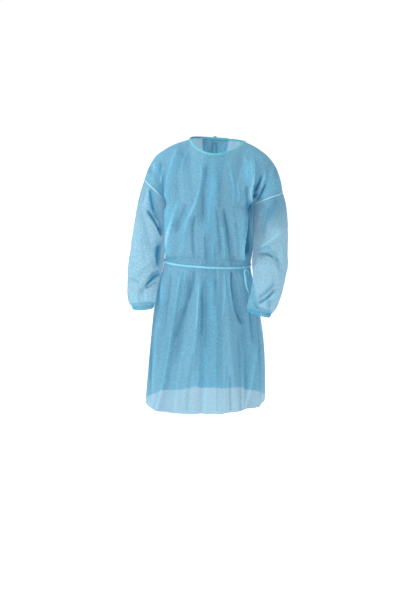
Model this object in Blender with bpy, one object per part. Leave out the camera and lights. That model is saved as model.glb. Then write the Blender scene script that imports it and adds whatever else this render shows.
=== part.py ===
"""Disposable isolation gown, in the shape it has when worn, with nobody in it.

Metres, +Z up. The wearer faces -Y and the wearer's left side is +X. The origin is the middle of the
shoulder line, where the shoulders hold the gown up. Every panel is a grid of points worked out from a few
tables of real sizes: the top edge (shoulders and neckline), the body's level sections, and the sleeves'
rings. Folds are ridges and troughs laid on those grids, and each panel's wall lies inside its grid.
"""

import math
from collections import namedtuple

import bmesh
import bpy
import numpy as np
from mathutils import Matrix
from mathutils.bvhtree import BVHTree
from mathutils.geometry import convex_hull_2d

# Driving dimensions
WALL = 0.0012  # wall of every cloth panel
SEAM_GAP = 0.0003  # between two pieces that are sewn together
YOKE_ROWS = 11  # grid rows from the shoulder line down to the underarm
ROWS_TO_BELT, ROWS_TO_HEM = 4, 10  # grid rows from the underarm to the belt, and from there to the hem
BELT_ROW = YOKE_ROWS + ROWS_TO_BELT
SHOULDER_COLUMNS = 15  # grid columns over each shoulder
NECK_COLUMNS = 14  # grid columns across the neckline
OVERLAP_COLUMNS = (4, 10)  # the neck columns between which the two backs overlap
OVERLAP_LIFT = 0.0050  # the wearer's right back lies this far over the left one
SLEEVE_RINGS = 12
CUFF_GATHERS = 12
CUFF_RINGS = 3
GATHER_DEPTH = 0.0016
CUFF_TUCK = 0.0026  # the cuff's crests run this far inside the sleeve's end
BINDING_WIDTH, BINDING_THICK = 0.0080, 0.0024
TIE_WIDTH, TIE_THICK = 0.0080, 0.0018
BELT_LIFT = 0.0007  # between the cloth and the waist tie's inner face
TIE_GAP = 0.0005  # between the cloth and a tie's free end that lies on it
KNOT_WIDTH, KNOT_HEIGHT, KNOT_DEPTH = 0.015, 0.012, 0.009

# The top edge, from the wearer's right armhole over the neck to the left armhole. u is the place across a
# panel; the front and back share the shoulder line and part at the neck points.
NECK_RIGHT, NECK_LEFT = 0.35, 0.70
Shoulder = namedtuple("Shoulder", "u x y z")
RIGHT_SHOULDER = [
    Shoulder(0.00, -0.2510, 0.005, -0.1519),
    Shoulder(0.05, -0.2360, 0.006, -0.1109),
    Shoulder(0.10, -0.2130, 0.008, -0.0720),
    Shoulder(0.17, -0.1778, 0.010, -0.0442),
    Shoulder(0.26, -0.1320, 0.012, -0.0210),
    Shoulder(NECK_RIGHT, -0.0850, 0.012, -0.0060),
]
LEFT_SHOULDER = [
    Shoulder(NECK_LEFT, 0.1290, 0.012, -0.0160),
    Shoulder(0.77, 0.1700, 0.012, -0.0370),
    Shoulder(0.84, 0.2130, 0.010, -0.0700),
    Shoulder(0.90, 0.2425, 0.008, -0.1109),
    Shoulder(0.95, 0.2590, 0.006, -0.1556),
    Shoulder(1.00, 0.2670, 0.005, -0.2006),
]
Neckline = namedtuple("Neckline", "u x front_y front_z back_y back_z")
NECKLINE = [
    Neckline(NECK_RIGHT, -0.0850, 0.012, -0.006, 0.012, -0.006),
    Neckline(0.39, -0.0700, -0.032, -0.028, 0.048, -0.004),
    Neckline(0.45, -0.0350, -0.068, -0.050, 0.073, -0.005),
    Neckline(0.51, 0.0040, -0.082, -0.059, 0.081, -0.008),
    Neckline(0.57, 0.0430, -0.076, -0.055, 0.078, -0.010),
    Neckline(0.64, 0.0900, -0.044, -0.042, 0.058, -0.012),
    Neckline(NECK_LEFT, 0.1290, 0.012, -0.016, 0.012, -0.016),
]

# How the cloth leaves the top edge and how it reaches the underarm level, by its distance from the panel's
# edge. forward is away from the wearer, so it is -Y on the front and +Y on the backs.
Fall = namedtuple("Fall", "edge start_forward start_down end_forward end_down")
FRONT_FALL = [
    Fall(0.00, 0.330, 0.000, -0.330, 0.090),
    Fall(0.06, 0.300, 0.040, -0.130, 0.220),
    Fall(0.13, 0.230, 0.060, 0.000, 0.290),
    Fall(0.27, 0.160, 0.070, 0.020, 0.280),
    Fall(0.37, 0.100, 0.110, 0.020, 0.240),
    Fall(0.50, 0.080, 0.150, 0.020, 0.220),
]
BACK_FALL = [
    Fall(0.00, 0.340, 0.000, -0.340, 0.000),
    Fall(0.06, 0.300, 0.040, -0.130, 0.190),
    Fall(0.13, 0.230, 0.050, 0.000, 0.290),
    Fall(0.27, 0.160, 0.060, 0.000, 0.290),
    Fall(0.37, 0.080, 0.120, 0.000, 0.270),
    Fall(0.50, 0.070, 0.140, 0.000, 0.270),
]

# Level sections of the body. right and left are half widths from the origin's plane, front and back are
# depths, square is 2 for an ellipse and more for a boxier ring, and dip is how far the middle of the front
# and of the back hangs lower than the sides. The hem is the last one.
Section = namedtuple("Section", "right_z left_z right left front back square dip")
BODY = [
    Section(-0.2415, -0.2528, 0.1715, 0.1600, 0.136, 0.120, 2.4, 0.000),
    Section(-0.3250, -0.3350, 0.1735, 0.1600, 0.141, 0.118, 2.5, 0.000),
    Section(-0.4050, -0.4150, 0.1755, 0.1570, 0.138, 0.113, 2.4, 0.000),
    Section(-0.4595, -0.4750, 0.1775, 0.1490, 0.127, 0.106, 2.1, 0.000),
    Section(-0.5170, -0.5310, 0.1925, 0.1575, 0.140, 0.124, 2.3, 0.001),
    Section(-0.5750, -0.5840, 0.2065, 0.1700, 0.148, 0.138, 2.3, 0.002),
    Section(-0.6500, -0.6500, 0.2200, 0.1840, 0.154, 0.153, 2.3, 0.003),
    Section(-0.7700, -0.7700, 0.2340, 0.2020, 0.161, 0.168, 2.3, 0.005),
    Section(-0.8850, -0.8760, 0.2450, 0.2080, 0.167, 0.179, 2.3, 0.009),
    Section(-1.0030, -0.9900, 0.2560, 0.2100, 0.174, 0.188, 2.3, 0.019),
]

# Sleeve rings from armhole to wrist: the outer and inner silhouette points as seen from the front, the depth
# of the ring's middle and its half depth.
Ring = namedtuple("Ring", "outer_x outer_z inner_x inner_z middle_y half_depth")
RIGHT_SLEEVE = [
    Ring(-0.2510, -0.1519, -0.1715, -0.2415, 0.005, 0.085),
    Ring(-0.2700, -0.2077, -0.1755, -0.2900, 0.010, 0.084),
    Ring(-0.2829, -0.2678, -0.1768, -0.3350, 0.016, 0.082),
    Ring(-0.2951, -0.3360, -0.1778, -0.3850, 0.019, 0.079),
    Ring(-0.3055, -0.4008, -0.1800, -0.4250, 0.018, 0.076),
    Ring(-0.3139, -0.4583, -0.1860, -0.4700, 0.008, 0.073),
    Ring(-0.3184, -0.5123, -0.1950, -0.5150, -0.012, 0.069),
    Ring(-0.3180, -0.5560, -0.2020, -0.5550, -0.038, 0.063),
    Ring(-0.3150, -0.5920, -0.2050, -0.5880, -0.062, 0.056),
    Ring(-0.3060, -0.6180, -0.2095, -0.6130, -0.076, 0.047),
]
LEFT_SLEEVE = [
    Ring(0.2670, -0.2006, 0.1600, -0.2528, 0.005, 0.085),
    Ring(0.2805, -0.2452, 0.1618, -0.2950, 0.009, 0.084),
    Ring(0.2875, -0.3057, 0.1622, -0.3450, 0.011, 0.082),
    Ring(0.2895, -0.3650, 0.1605, -0.3900, 0.003, 0.078),
    Ring(0.2890, -0.4250, 0.1565, -0.4300, -0.027, 0.074),
    Ring(0.2845, -0.4720, 0.1515, -0.4700, -0.066, 0.069),
    Ring(0.2730, -0.5150, 0.1535, -0.5100, -0.104, 0.062),
    Ring(0.2600, -0.5570, 0.1465, -0.5450, -0.135, 0.056),
    Ring(0.2450, -0.5960, 0.1370, -0.5780, -0.157, 0.051),
    Ring(0.2240, -0.6300, 0.1290, -0.6050, -0.170, 0.045),
]
RIGHT_CUFF = [
    Ring(-0.3063, -0.6165, -0.2092, -0.6115, -0.0753, 0.0472),
    Ring(-0.3020, -0.6240, -0.2130, -0.6190, -0.079, 0.043),
    Ring(-0.3000, -0.6320, -0.2145, -0.6270, -0.082, 0.042),
]
LEFT_CUFF = [
    Ring(0.2250, -0.6285, 0.1293, -0.6035, -0.1694, 0.0453),
    Ring(0.2195, -0.6365, 0.1280, -0.6115, -0.174, 0.041),
    Ring(0.2160, -0.6440, 0.1275, -0.6190, -0.178, 0.040),
]

# Folds, each a soft ridge (height above 0) or trough (below 0) along a curve through three points of the
# front view, top to bottom.
Fold = namedtuple("Fold", "x0 z0 x1 z1 x2 z2 width height")
FRONT_FOLDS = [
    Fold(-0.112, -0.028, -0.154, -0.140, -0.158, -0.245, 0.016, 0.020),  # ridge from the right shoulder
    Fold(-0.158, -0.215, -0.157, -0.350, -0.152, -0.462, 0.016, 0.017),  # its run down the right side
    Fold(-0.190, -0.075, -0.178, -0.150, -0.170, -0.200, 0.010, -0.008),  # trough between it and the arm
    Fold(-0.124, -0.120, -0.128, -0.260, -0.130, -0.440, 0.013, -0.008),  # trough on its inner side
    Fold(-0.008, -0.075, -0.024, -0.190, -0.030, -0.350, 0.015, -0.013),  # trough down the chest
    Fold(-0.038, -0.165, -0.070, -0.270, -0.136, -0.385, 0.013, 0.012),  # drag line to the right side
    Fold(-0.092, -0.235, -0.112, -0.310, -0.136, -0.340, 0.012, -0.008),  # shade under the drag line
    Fold(0.018, -0.100, 0.018, -0.260, 0.024, -0.420, 0.016, 0.009),
    Fold(0.144, -0.060, 0.143, -0.170, 0.126, -0.260, 0.015, 0.018),  # ridge from the left shoulder
    Fold(0.126, -0.240, 0.112, -0.360, 0.104, -0.470, 0.015, 0.018),  # its run down to the belt
    Fold(0.168, -0.150, 0.146, -0.270, 0.134, -0.450, 0.012, -0.016),  # deep trough beside the left arm
    Fold(0.206, -0.105, 0.182, -0.170, 0.162, -0.215, 0.010, 0.010),  # narrow ridge on the left cap
    Fold(0.040, -0.235, 0.072, -0.390, 0.078, -0.480, 0.013, -0.013),  # crease from the chest to the belt
    Fold(0.078, -0.480, 0.092, -0.600, 0.120, -0.690, 0.013, -0.014),  # the same crease over the hip
    Fold(-0.106, -0.475, -0.142, -0.690, -0.196, -1.010, 0.018, 0.018),  # long ridge down the skirt
    Fold(-0.070, -0.480, -0.094, -0.640, -0.140, -0.860, 0.016, -0.013),
    Fold(-0.040, -0.490, -0.052, -0.660, -0.080, -0.900, 0.015, 0.011),
    Fold(0.012, -0.500, 0.018, -0.720, 0.030, -1.015, 0.018, 0.013),
    Fold(-0.014, -0.520, -0.022, -0.780, -0.040, -1.015, 0.017, -0.011),
    Fold(0.050, -0.500, 0.064, -0.720, 0.096, -1.000, 0.016, 0.009),
    Fold(0.140, -0.580, 0.162, -0.800, 0.172, -1.000, 0.016, 0.014),
    Fold(0.116, -0.690, 0.128, -0.850, 0.136, -1.005, 0.014, -0.010),
    Fold(-0.156, -0.480, -0.180, -0.640, -0.216, -0.900, 0.014, -0.010),
]
BACK_FOLDS = [
    Fold(-0.124, -0.060, -0.138, -0.180, -0.140, -0.440, 0.017, 0.015),
    Fold(0.152, -0.070, 0.142, -0.200, 0.122, -0.450, 0.017, 0.015),
    Fold(-0.084, -0.120, -0.096, -0.260, -0.094, -0.450, 0.015, -0.010),
    Fold(0.092, -0.120, 0.100, -0.260, 0.084, -0.450, 0.015, -0.010),
    Fold(-0.050, -0.200, -0.056, -0.340, -0.058, -0.460, 0.014, 0.010),
    Fold(-0.130, -0.490, -0.166, -0.720, -0.196, -1.010, 0.018, 0.018),
    Fold(-0.086, -0.490, -0.108, -0.720, -0.128, -1.010, 0.017, -0.013),
    Fold(-0.042, -0.500, -0.056, -0.740, -0.066, -1.015, 0.017, 0.014),
    Fold(0.034, -0.500, 0.044, -0.740, 0.052, -1.010, 0.017, -0.011),
    Fold(0.078, -0.490, 0.100, -0.730, 0.116, -1.005, 0.017, 0.016),
    Fold(0.116, -0.490, 0.138, -0.740, 0.152, -1.000, 0.015, -0.011),
]
RIGHT_SLEEVE_FOLDS = [
    Fold(-0.262, -0.215, -0.234, -0.300, -0.200, -0.390, 0.013, 0.013),  # flap hanging from the armhole
    Fold(-0.270, -0.270, -0.246, -0.345, -0.208, -0.430, 0.013, -0.014),
    Fold(-0.270, -0.570, -0.234, -0.535, -0.208, -0.490, 0.013, -0.012),  # crook of the elbow
    Fold(-0.290, -0.520, -0.262, -0.480, -0.214, -0.455, 0.013, 0.010),
    Fold(-0.286, -0.300, -0.292, -0.400, -0.294, -0.480, 0.014, 0.006),
]
LEFT_SLEEVE_FOLDS = [
    Fold(0.170, -0.410, 0.222, -0.375, 0.272, -0.330, 0.013, 0.012),  # fan of creases from the elbow's crook
    Fold(0.170, -0.440, 0.214, -0.420, 0.256, -0.440, 0.013, -0.014),
    Fold(0.168, -0.480, 0.214, -0.462, 0.256, -0.500, 0.012, 0.008),
    Fold(0.166, -0.570, 0.206, -0.545, 0.238, -0.500, 0.012, -0.010),
    Fold(0.254, -0.210, 0.252, -0.250, 0.238, -0.300, 0.012, -0.007),
]
BACK_OF_SLEEVE = 0.8  # the same folds on a sleeve's back are this much as deep

BELT_SECTION = 3  # the waist tie lies on this row of BODY
BELT_POINTS = 72
Spot = namedtuple("Spot", "x z")
WAIST_KNOT_X = 0.1205
WAIST_LOOP = [  # from the knot's middle, as are the tail's
    Spot(0.0020, -0.0085),
    Spot(-0.0020, -0.0170),
    Spot(0.0000, -0.0400),
    Spot(0.0035, -0.0660),
    Spot(0.0125, -0.0900),
    Spot(0.0185, -0.0660),
    Spot(0.0165, -0.0400),
    Spot(0.0100, -0.0170),
]
WAIST_TAIL = [
    Spot(0.0075, -0.0100),
    Spot(0.0100, -0.0450),
    Spot(0.0150, -0.0800),
    Spot(0.0190, -0.1150),
]
LOOP_CLEAR = 0.0064  # from the cloth to the middle of the loop's strip
RIGHT_NECK_TIE = [
    Spot(0.0075, -0.0180),
    Spot(0.0000, -0.0600),
    Spot(-0.0060, -0.1200),
    Spot(-0.0090, -0.1750),
]
LEFT_NECK_TIE = [
    Spot(0.0170, -0.0180),
    Spot(0.0210, -0.0600),
    Spot(0.0230, -0.1150),
    Spot(0.0270, -0.1600),
]

# Cloth colours
CLOTH, SLEEVE_CLOTH, BINDING, TIE = (
    (0.19, 0.46, 0.64),
    (0.30, 0.58, 0.74),
    (0.05, 0.46, 0.58),
    (0.25, 0.60, 0.78),
)
CLOTH_ROUGHNESS = 0.75


# ---- curves and surfaces ----


def smooth(keys, values, at):
    """A smooth curve through values at keys, read at any places."""
    keys, values = np.asarray(keys, float), np.asarray(values, float)
    slopes = np.gradient(values, keys, axis=0)
    at = np.clip(at, keys[0], keys[-1])
    i = np.clip(np.searchsorted(keys, at, side="right") - 1, 0, len(keys) - 2)
    span = keys[i + 1] - keys[i]
    t = (at - keys[i]) / span
    if values.ndim > 1:
        span, t = span[..., None], t[..., None]
    return hermite(values[i], values[i + 1], slopes[i] * span, slopes[i + 1] * span, t)


def hermite(start, end, leaving, arriving, t):
    """The cubic from start to end with those tangents."""
    t2, t3 = t * t, t * t * t
    return (
        (2 * t3 - 3 * t2 + 1) * start
        + (t3 - 2 * t2 + t) * leaving
        + (3 * t2 - 2 * t3) * end
        + (t3 - t2) * arriving
    )


def column(table, *names):
    return np.array([[getattr(row, name) for name in names] for row in table], float)


def ease(value, low, high):
    """0 below low, 1 above high and smooth between them."""
    t = np.clip((value - low) / (high - low), 0, 1)
    return t * t * (3 - 2 * t)


def top_edge(u, side):
    """The panel's top edge at u. side is -1 for the front and 1 for the backs."""
    name = "front" if side < 0 else "back"
    points = smooth(column(NECKLINE, "u")[:, 0], column(NECKLINE, "x", name + "_y", name + "_z"), u)
    for table, here in ((RIGHT_SHOULDER, u <= NECK_RIGHT), (LEFT_SHOULDER, u >= NECK_LEFT)):
        on_shoulder = smooth(column(table, "u")[:, 0], column(table, "x", "y", "z"), u)
        points = np.where(here[..., None], on_shoulder, points)
    return points


def section(u, drop, side):
    """A point of the body at u across and drop down, from 0 at the underarm to 1 at the hem."""
    sizes = smooth(np.linspace(0, 1, len(BODY)), column(BODY, *Section._fields), drop)
    right_z, left_z, right, left, front, back, square, dip = np.moveaxis(sizes, -1, 0)
    angle = (u - 0.5) * math.pi
    half, middle = (right + left) / 2, (left - right) / 2
    depth = front if side < 0 else back
    across, along = np.abs(np.sin(angle)) / half, np.abs(np.cos(angle)) / depth
    radius = (across**square + along**square) ** (-1 / square)
    x = middle + radius * np.sin(angle)
    share = (x + right) / (right + left)
    z = right_z + (left_z - right_z) * share
    z = z - dip * np.cos(angle) ** 0.5
    return np.stack([x, side * radius * np.cos(angle), z], -1)


def yoke(u, share, side):
    """A point between the top edge, at share 0, and the underarm level, at share 1."""
    fall = FRONT_FALL if side < 0 else BACK_FALL
    names = ("start_forward", "start_down", "end_forward", "end_down")
    out, down, out_end, down_end = np.moveaxis(
        smooth(column(fall, "edge")[:, 0], column(fall, *names), np.minimum(u, 1 - u)), -1, 0
    )
    zero = np.zeros_like(out)
    leaving = np.stack([zero, side * out, -down], -1)
    arriving = np.stack([zero, side * out_end, -down_end], -1)
    chest = section(u, np.zeros_like(u), side)
    return hermite(top_edge(u, side), chest, leaving, arriving, share[..., None])


def panel(u, v, side):
    """The front or back without folds. v is 0 at the top edge, 1 at the underarm and 2 at the hem."""
    upper, lower = yoke(u, np.minimum(v, 1), side), section(u, np.maximum(v - 1, 0), side)
    return np.where((v <= 1)[..., None], upper, lower)


def normals(points, out):
    """The grid's unit normals, turned to the side that out says."""
    n = np.cross(np.gradient(points, axis=1), np.gradient(points, axis=0))
    return out * n / np.maximum(np.linalg.norm(n, axis=-1, keepdims=True), 1e-12)


def fold_height(points, folds):
    """The height of all folds at each point, by its distance to them in the front view."""
    total = np.zeros(points.shape[:-1])
    for fold in folds:
        a, b, c = np.array(fold[:6]).reshape(3, 2)
        best, place = np.full(total.shape, np.inf), np.zeros(total.shape)
        for t in np.linspace(0, 1, 33):
            on_fold = a * (1 - t) * (1 - 2 * t) + b * 4 * t * (1 - t) + c * t * (2 * t - 1)
            distance = np.hypot(points[..., 0] - on_fold[0], points[..., 2] - on_fold[1])
            place = np.where(distance < best, t, place)
            best = np.minimum(distance, best)
        ends = ease(place, 0, 0.12) * (1 - ease(place, 0.88, 1))
        at_hem = c[1] < BODY[-1].left_z + 0.03
        ends = np.where(at_hem & (place > 0.5), 1.0, ends)
        total += fold.height * ends * np.exp(-((best / fold.width) ** 2))
    return total


# ---- building objects ----


def material(name, colour):
    made = bpy.data.materials.new(name)
    made.use_nodes = True
    shader = made.node_tree.nodes["Principled BSDF"]
    shader.inputs["Base Color"].default_value = (*colour, 1)
    shader.inputs["Roughness"].default_value = CLOTH_ROUGHNESS
    shader.inputs["Metallic"].default_value = 0.0
    return made


def add_object(name, points, faces, colour):
    """A mesh object whose faces all look outwards."""
    mesh = bpy.data.meshes.new(name)
    mesh.from_pydata([tuple(p) for p in points], [], faces)
    mesh.materials.append(material(name, colour))
    mesh.shade_smooth()
    made = bpy.data.objects.new(name, mesh)
    bpy.context.scene.collection.objects.link(made)
    return made


def grid_triangles(points, closed=False, flip=False):
    """Two triangles for each cell of a grid, cut along its shorter diagonal. closed joins the grid round."""
    rows, columns = points.shape[:2]
    flat = points.reshape(-1, 3)
    faces = []
    for r in range(rows - 1):
        for c in range(columns if closed else columns - 1):
            d = (c + 1) % columns
            cell = [r * columns + c, (r + 1) * columns + c, (r + 1) * columns + d, r * columns + d]
            ends = flat[cell]
            if np.linalg.norm(ends[0] - ends[2]) > np.linalg.norm(ends[1] - ends[3]):
                cell = cell[1:] + cell[:1]
            for face in ((cell[0], cell[1], cell[2]), (cell[0], cell[2], cell[3])):
                faces.append(face[::-1] if flip else face)
    return faces


def add_cloth(name, points, out, colour, trims=(), closed=False, flip=False):
    """A panel or tube of cloth from its outer points, with its wall inside them, against out's directions."""
    rows, columns = points.shape[:2]
    outer = trimmed(points, trims)
    inner = outer - out * WALL
    count = rows * columns
    faces = grid_triangles(outer, closed, flip)
    faces += [tuple(count + i for i in face[::-1]) for face in faces]
    top = [c for c in range(columns)]
    bottom = [(rows - 1) * columns + c for c in range(columns)]
    if closed:
        edges = [(top + top[:1])[::-1], bottom + bottom[:1]]
    else:
        first = [r * columns for r in range(rows)]
        last = [r * columns + columns - 1 for r in range(rows)]
        edges = [top[::-1], first, bottom, last[::-1]]
    for edge in edges:
        for a, b in zip(edge, edge[1:]):
            rim = (b, a, count + a, count + b)
            faces.append(rim[::-1] if flip else rim)
    add_object(name, np.concatenate([outer, inner]).reshape(-1, 3), faces, colour)


def add_strip(name, path, up, out, width, thick, colour, closed=False):
    """A flat strip with its inner face along path. up is its width's direction and out its thickness's."""
    half, out = up * width / 2, out * thick
    corners = np.stack([path - half, path - half + out, path + half + out, path + half], 1)
    count = len(path)
    faces = []
    for i in range(count if closed else count - 1):
        j = (i + 1) % count
        faces += [(i * 4 + k, i * 4 + (k + 1) % 4, j * 4 + (k + 1) % 4, j * 4 + k) for k in range(4)]
    if not closed:
        last = (count - 1) * 4
        faces += [(3, 2, 1, 0), (last, last + 1, last + 2, last + 3)]
    made = add_object(name, corners.reshape(-1, 3), faces, colour)
    work = bmesh.new()
    work.from_mesh(made.data)
    bmesh.ops.recalc_face_normals(work, faces=work.faces)
    work.to_mesh(made.data)
    work.free()


def add_knot(name, middle, out, colour):
    """A rounded lump, deepest along out."""
    made = add_object(name, [], [], colour)
    work = bmesh.new()
    bmesh.ops.create_uvsphere(work, u_segments=10, v_segments=7, radius=0.5)
    side = unit(np.cross(out, (0, 0, 1)))
    turn = Matrix([list(side), list(out), [0, 0, 1]]).transposed().to_4x4()
    size = Matrix.Diagonal((KNOT_WIDTH, KNOT_DEPTH, KNOT_HEIGHT, 1))
    bmesh.ops.transform(work, matrix=Matrix.Translation(middle) @ turn @ size, verts=work.verts)
    work.to_mesh(made.data)
    work.free()
    made.data.shade_smooth()


def unit(vectors):
    vectors = np.asarray(vectors, float)
    return vectors / np.maximum(np.linalg.norm(vectors, axis=-1, keepdims=True), 1e-12)


def trimmed(points, sides):
    """The grid with its edges on those sides drawn in from the seam line by half a seam gap."""
    points = points.copy()
    places = {
        "top": (np.s_[0], np.s_[1]),
        "first": (np.s_[:, 0], np.s_[:, 1]),
        "last": (np.s_[:, -1], np.s_[:, -2]),
    }
    for side in sides:
        edge, inner = places[side]
        points[edge] += unit(points[inner] - points[edge]) * SEAM_GAP / 2
    return points


# ---- the gown ----


def panel_rows():
    """v of each grid row, with one row right on the belt."""
    belt = BELT_SECTION / (len(BODY) - 1)
    above = np.linspace(0, belt, ROWS_TO_BELT + 1)[1:]
    below = np.linspace(belt, 1, ROWS_TO_HEM + 1)[1:]
    return np.concatenate([np.linspace(0, 1, YOKE_ROWS + 1), 1 + above, 1 + below])


def panel_columns():
    """u of each grid column, with one column on each neck point."""
    over_right = np.linspace(0, NECK_RIGHT, SHOULDER_COLUMNS + 1)
    over_neck = np.linspace(NECK_RIGHT, NECK_LEFT, NECK_COLUMNS + 1)[1:]
    over_left = np.linspace(NECK_LEFT, 1, SHOULDER_COLUMNS + 1)[1:]
    return np.concatenate([over_right, over_neck, over_left])


def folded(columns, side, folds):
    """A panel with its folds, which die out at the seams and the neckline and are pinched by the belt."""
    rows = panel_rows()
    u, v = np.meshgrid(columns, rows)
    points = panel(u, v, side)
    height = fold_height(points, folds)
    below = ease(v, 0.95, 1.3)
    height *= ease(np.minimum(u, 1 - u), 0.02 - 0.02 * below, 0.14 - 0.07 * below) * ease(v, 0.0, 0.16)
    height *= 1 - 0.6 * np.exp(-(((v - rows[BELT_ROW]) / 0.04) ** 2))
    return points + normals(points, side) * height[..., None]


def overlapped(back, out):
    """The back parted into the wearer's right half, which lies over, and the left half, which lies under."""
    columns = panel_columns()
    low, high = (SHOULDER_COLUMNS + column for column in OVERLAP_COLUMNS)
    lift = OVERLAP_LIFT * ease(columns, columns[low - 5], columns[low - 1])
    right = (back + out * lift[:, None])[:, : high + 1]
    return right, out[:, : high + 1], back[:, low:], out[:, low:]


def share_seams(front_out, back_out, right_out, left_out):
    """Where two pieces meet at a seam, give both walls the seam's own direction so that they meet square."""
    shoulder = np.r_[0 : SHOULDER_COLUMNS + 1, SHOULDER_COLUMNS + NECK_COLUMNS : front_out.shape[1]]
    front_out[0, shoulder] = back_out[0, shoulder] = unit(front_out[0, shoulder] + back_out[0, shoulder])
    for edge, sleeve_out in ((0, right_out), (-1, left_out)):
        side = front_out[YOKE_ROWS:, edge] + back_out[YOKE_ROWS:, edge]
        front_out[YOKE_ROWS:, edge] = back_out[YOKE_ROWS:, edge] = unit(side)
        for panel_out, ring in (
            (front_out, range(0, YOKE_ROWS + 1)),
            (back_out, [0, *range(2 * YOKE_ROWS - 1, YOKE_ROWS - 1, -1)]),
        ):
            for row, place in enumerate(ring):
                own, other = panel_out[row, edge], sleeve_out[0, place]
                if np.dot(own, other) > 0.3:
                    panel_out[row, edge] = sleeve_out[0, place] = unit(own + other)


def armhole_ring(left):
    """The armhole: down the front panel's edge and back up the back panel's, moved clear of both."""
    share = np.linspace(0, 1, YOKE_ROWS + 1)
    edge = np.full_like(share, 1.0 if left else 0.0)
    front, back = yoke(edge, share, -1), yoke(edge, share, 1)
    clear = (SEAM_GAP if left else -SEAM_GAP, 0, 0)
    return np.concatenate([front, back[::-1][1:-1]]) + clear


def ring_sizes(table, count):
    sizes = smooth(np.linspace(0, 1, len(table)), column(table, *Ring._fields), np.linspace(0, 1, count))
    return (sizes[:, k, None] for k in range(6))


def ring_points(table, count, turn, inset):
    """Rings by count along table, with a point at each turn, drawn in by inset all round."""
    outer_x, outer_z, inner_x, inner_z, middle_y, half = ring_sizes(table, count)
    across = np.stack([outer_x - inner_x, outer_x * 0, outer_z - inner_z], -1) / 2
    middle = np.stack([(outer_x + inner_x) / 2, middle_y, (outer_z + inner_z) / 2], -1)
    across = across - unit(across) * inset[..., None]
    depth = (half - inset)[..., None] * np.array([0, -1.0, 0])
    return middle + across * np.cos(turn)[..., None] + depth * np.sin(turn)[..., None]


def tube_normals(points, left):
    closed = np.concatenate([points[:, -1:], points, points[:, :1]], 1)
    return normals(closed, 1 if left else -1)[:, 1:-1]


def sleeve_points(table, folds, left):
    """A sleeve's outer points. Its first ring is the armhole, point for point."""
    turn = np.linspace(0, 2 * math.pi, 2 * YOKE_ROWS, endpoint=False)[None, :]
    along = np.linspace(0, 1, SLEEVE_RINGS + 1)
    rings = ring_points(table, SLEEVE_RINGS + 1, turn, np.zeros_like(turn))
    blend = ease(along, 0.0, 0.16)[:, None, None]
    points = armhole_ring(left)[None] * (1 - blend) + rings * blend
    out = tube_normals(points, left)
    facing = np.where(out[..., 1] < 0, -out[..., 1], BACK_OF_SLEEVE * out[..., 1])
    fade = ease(along, 0.0, 0.15) * (1 - ease(along, 0.85, 1.0))
    height = fold_height(points, folds) * facing * fade[:, None]
    return points + out * height[..., None]


def cuff_points(table):
    """An elastic cuff, gathered all round."""
    turn = np.linspace(0, 2 * math.pi, CUFF_GATHERS * 4, endpoint=False)[None, :]
    inset = CUFF_TUCK + GATHER_DEPTH * (1 - np.cos(turn * CUFF_GATHERS))
    return ring_points(table, CUFF_RINGS, turn, inset)


def add_binding(front, right_back, left_back):
    """The folded strip round the neck, from one back's edge round the front to the other's."""
    first, last = SHOULDER_COLUMNS, SHOULDER_COLUMNS + NECK_COLUMNS
    skipped = SHOULDER_COLUMNS + OVERLAP_COLUMNS[0]
    parts = [
        (left_back[:2, : last - skipped + 1], 1, 1),
        (front[:2, first : last + 1], -1, -1),
        (right_back[:2, first:], 1, 1),
    ]
    path, up, out = [], [], []
    for rows, side, step in parts:
        normal = normals(rows, side)[0]
        edge = rows[0]
        ahead = unit(np.gradient(edge, axis=0))
        above = unit(np.cross(normal, ahead))
        above *= np.sign(np.sum(above * (rows[0] - rows[1]), -1, keepdims=True))
        start = 1 if path else 0
        path += list(edge[::step][start:])
        up += list(above[::step][start:])
        out += list(normal[::step][start:])
    path, up, out = np.array(path), np.array(up), np.array(out)
    for _ in range(2):
        up[1:-1] = unit(up[:-2] + 2 * up[1:-1] + up[2:])
        out[1:-1] = unit(out[:-2] + 2 * out[1:-1] + out[2:])
    middle = path + up * (SEAM_GAP + BINDING_WIDTH / 2) - out * (WALL / 2 + BINDING_THICK / 2)
    add_strip("neck_binding", middle, up, out, BINDING_WIDTH, BINDING_THICK, BINDING)


def belt_path(front, right_back, left_back):
    """The inner face of the waist tie, pulled taut round the cloth, and its outward directions."""
    heights = []
    for cloth in (front, right_back, left_back):
        above, on, below = cloth[BELT_ROW - 1], cloth[BELT_ROW], cloth[BELT_ROW + 1]
        heights += [on, on * 0.75 + above * 0.25, on * 0.75 + below * 0.25]
    cloth = np.concatenate(heights)
    hull = cloth[convex_hull_2d([(p[0], p[1]) for p in cloth])]
    tilt = np.polyfit(front[BELT_ROW, :, 0], front[BELT_ROW, :, 2], 1)
    hull[:, 2] = np.polyval(tilt, hull[:, 0])
    steps = np.linalg.norm(np.roll(hull, -1, 0) - hull, axis=1)
    around = np.concatenate([[0], np.cumsum(steps)])
    corners = np.concatenate([hull, hull[:1]])
    at = np.linspace(0, around[-1], BELT_POINTS, endpoint=False)
    path = np.stack([np.interp(at, around, corners[:, k]) for k in range(3)], 1)
    ahead = unit(np.roll(path, -1, 0) - np.roll(path, 1, 0))
    out = unit(np.stack([ahead[:, 1], -ahead[:, 0], ahead[:, 0] * 0], 1))
    out *= np.sign(np.sum(out * (path - path.mean(0)), -1, keepdims=True))
    return path + out * BELT_LIFT, out


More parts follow.
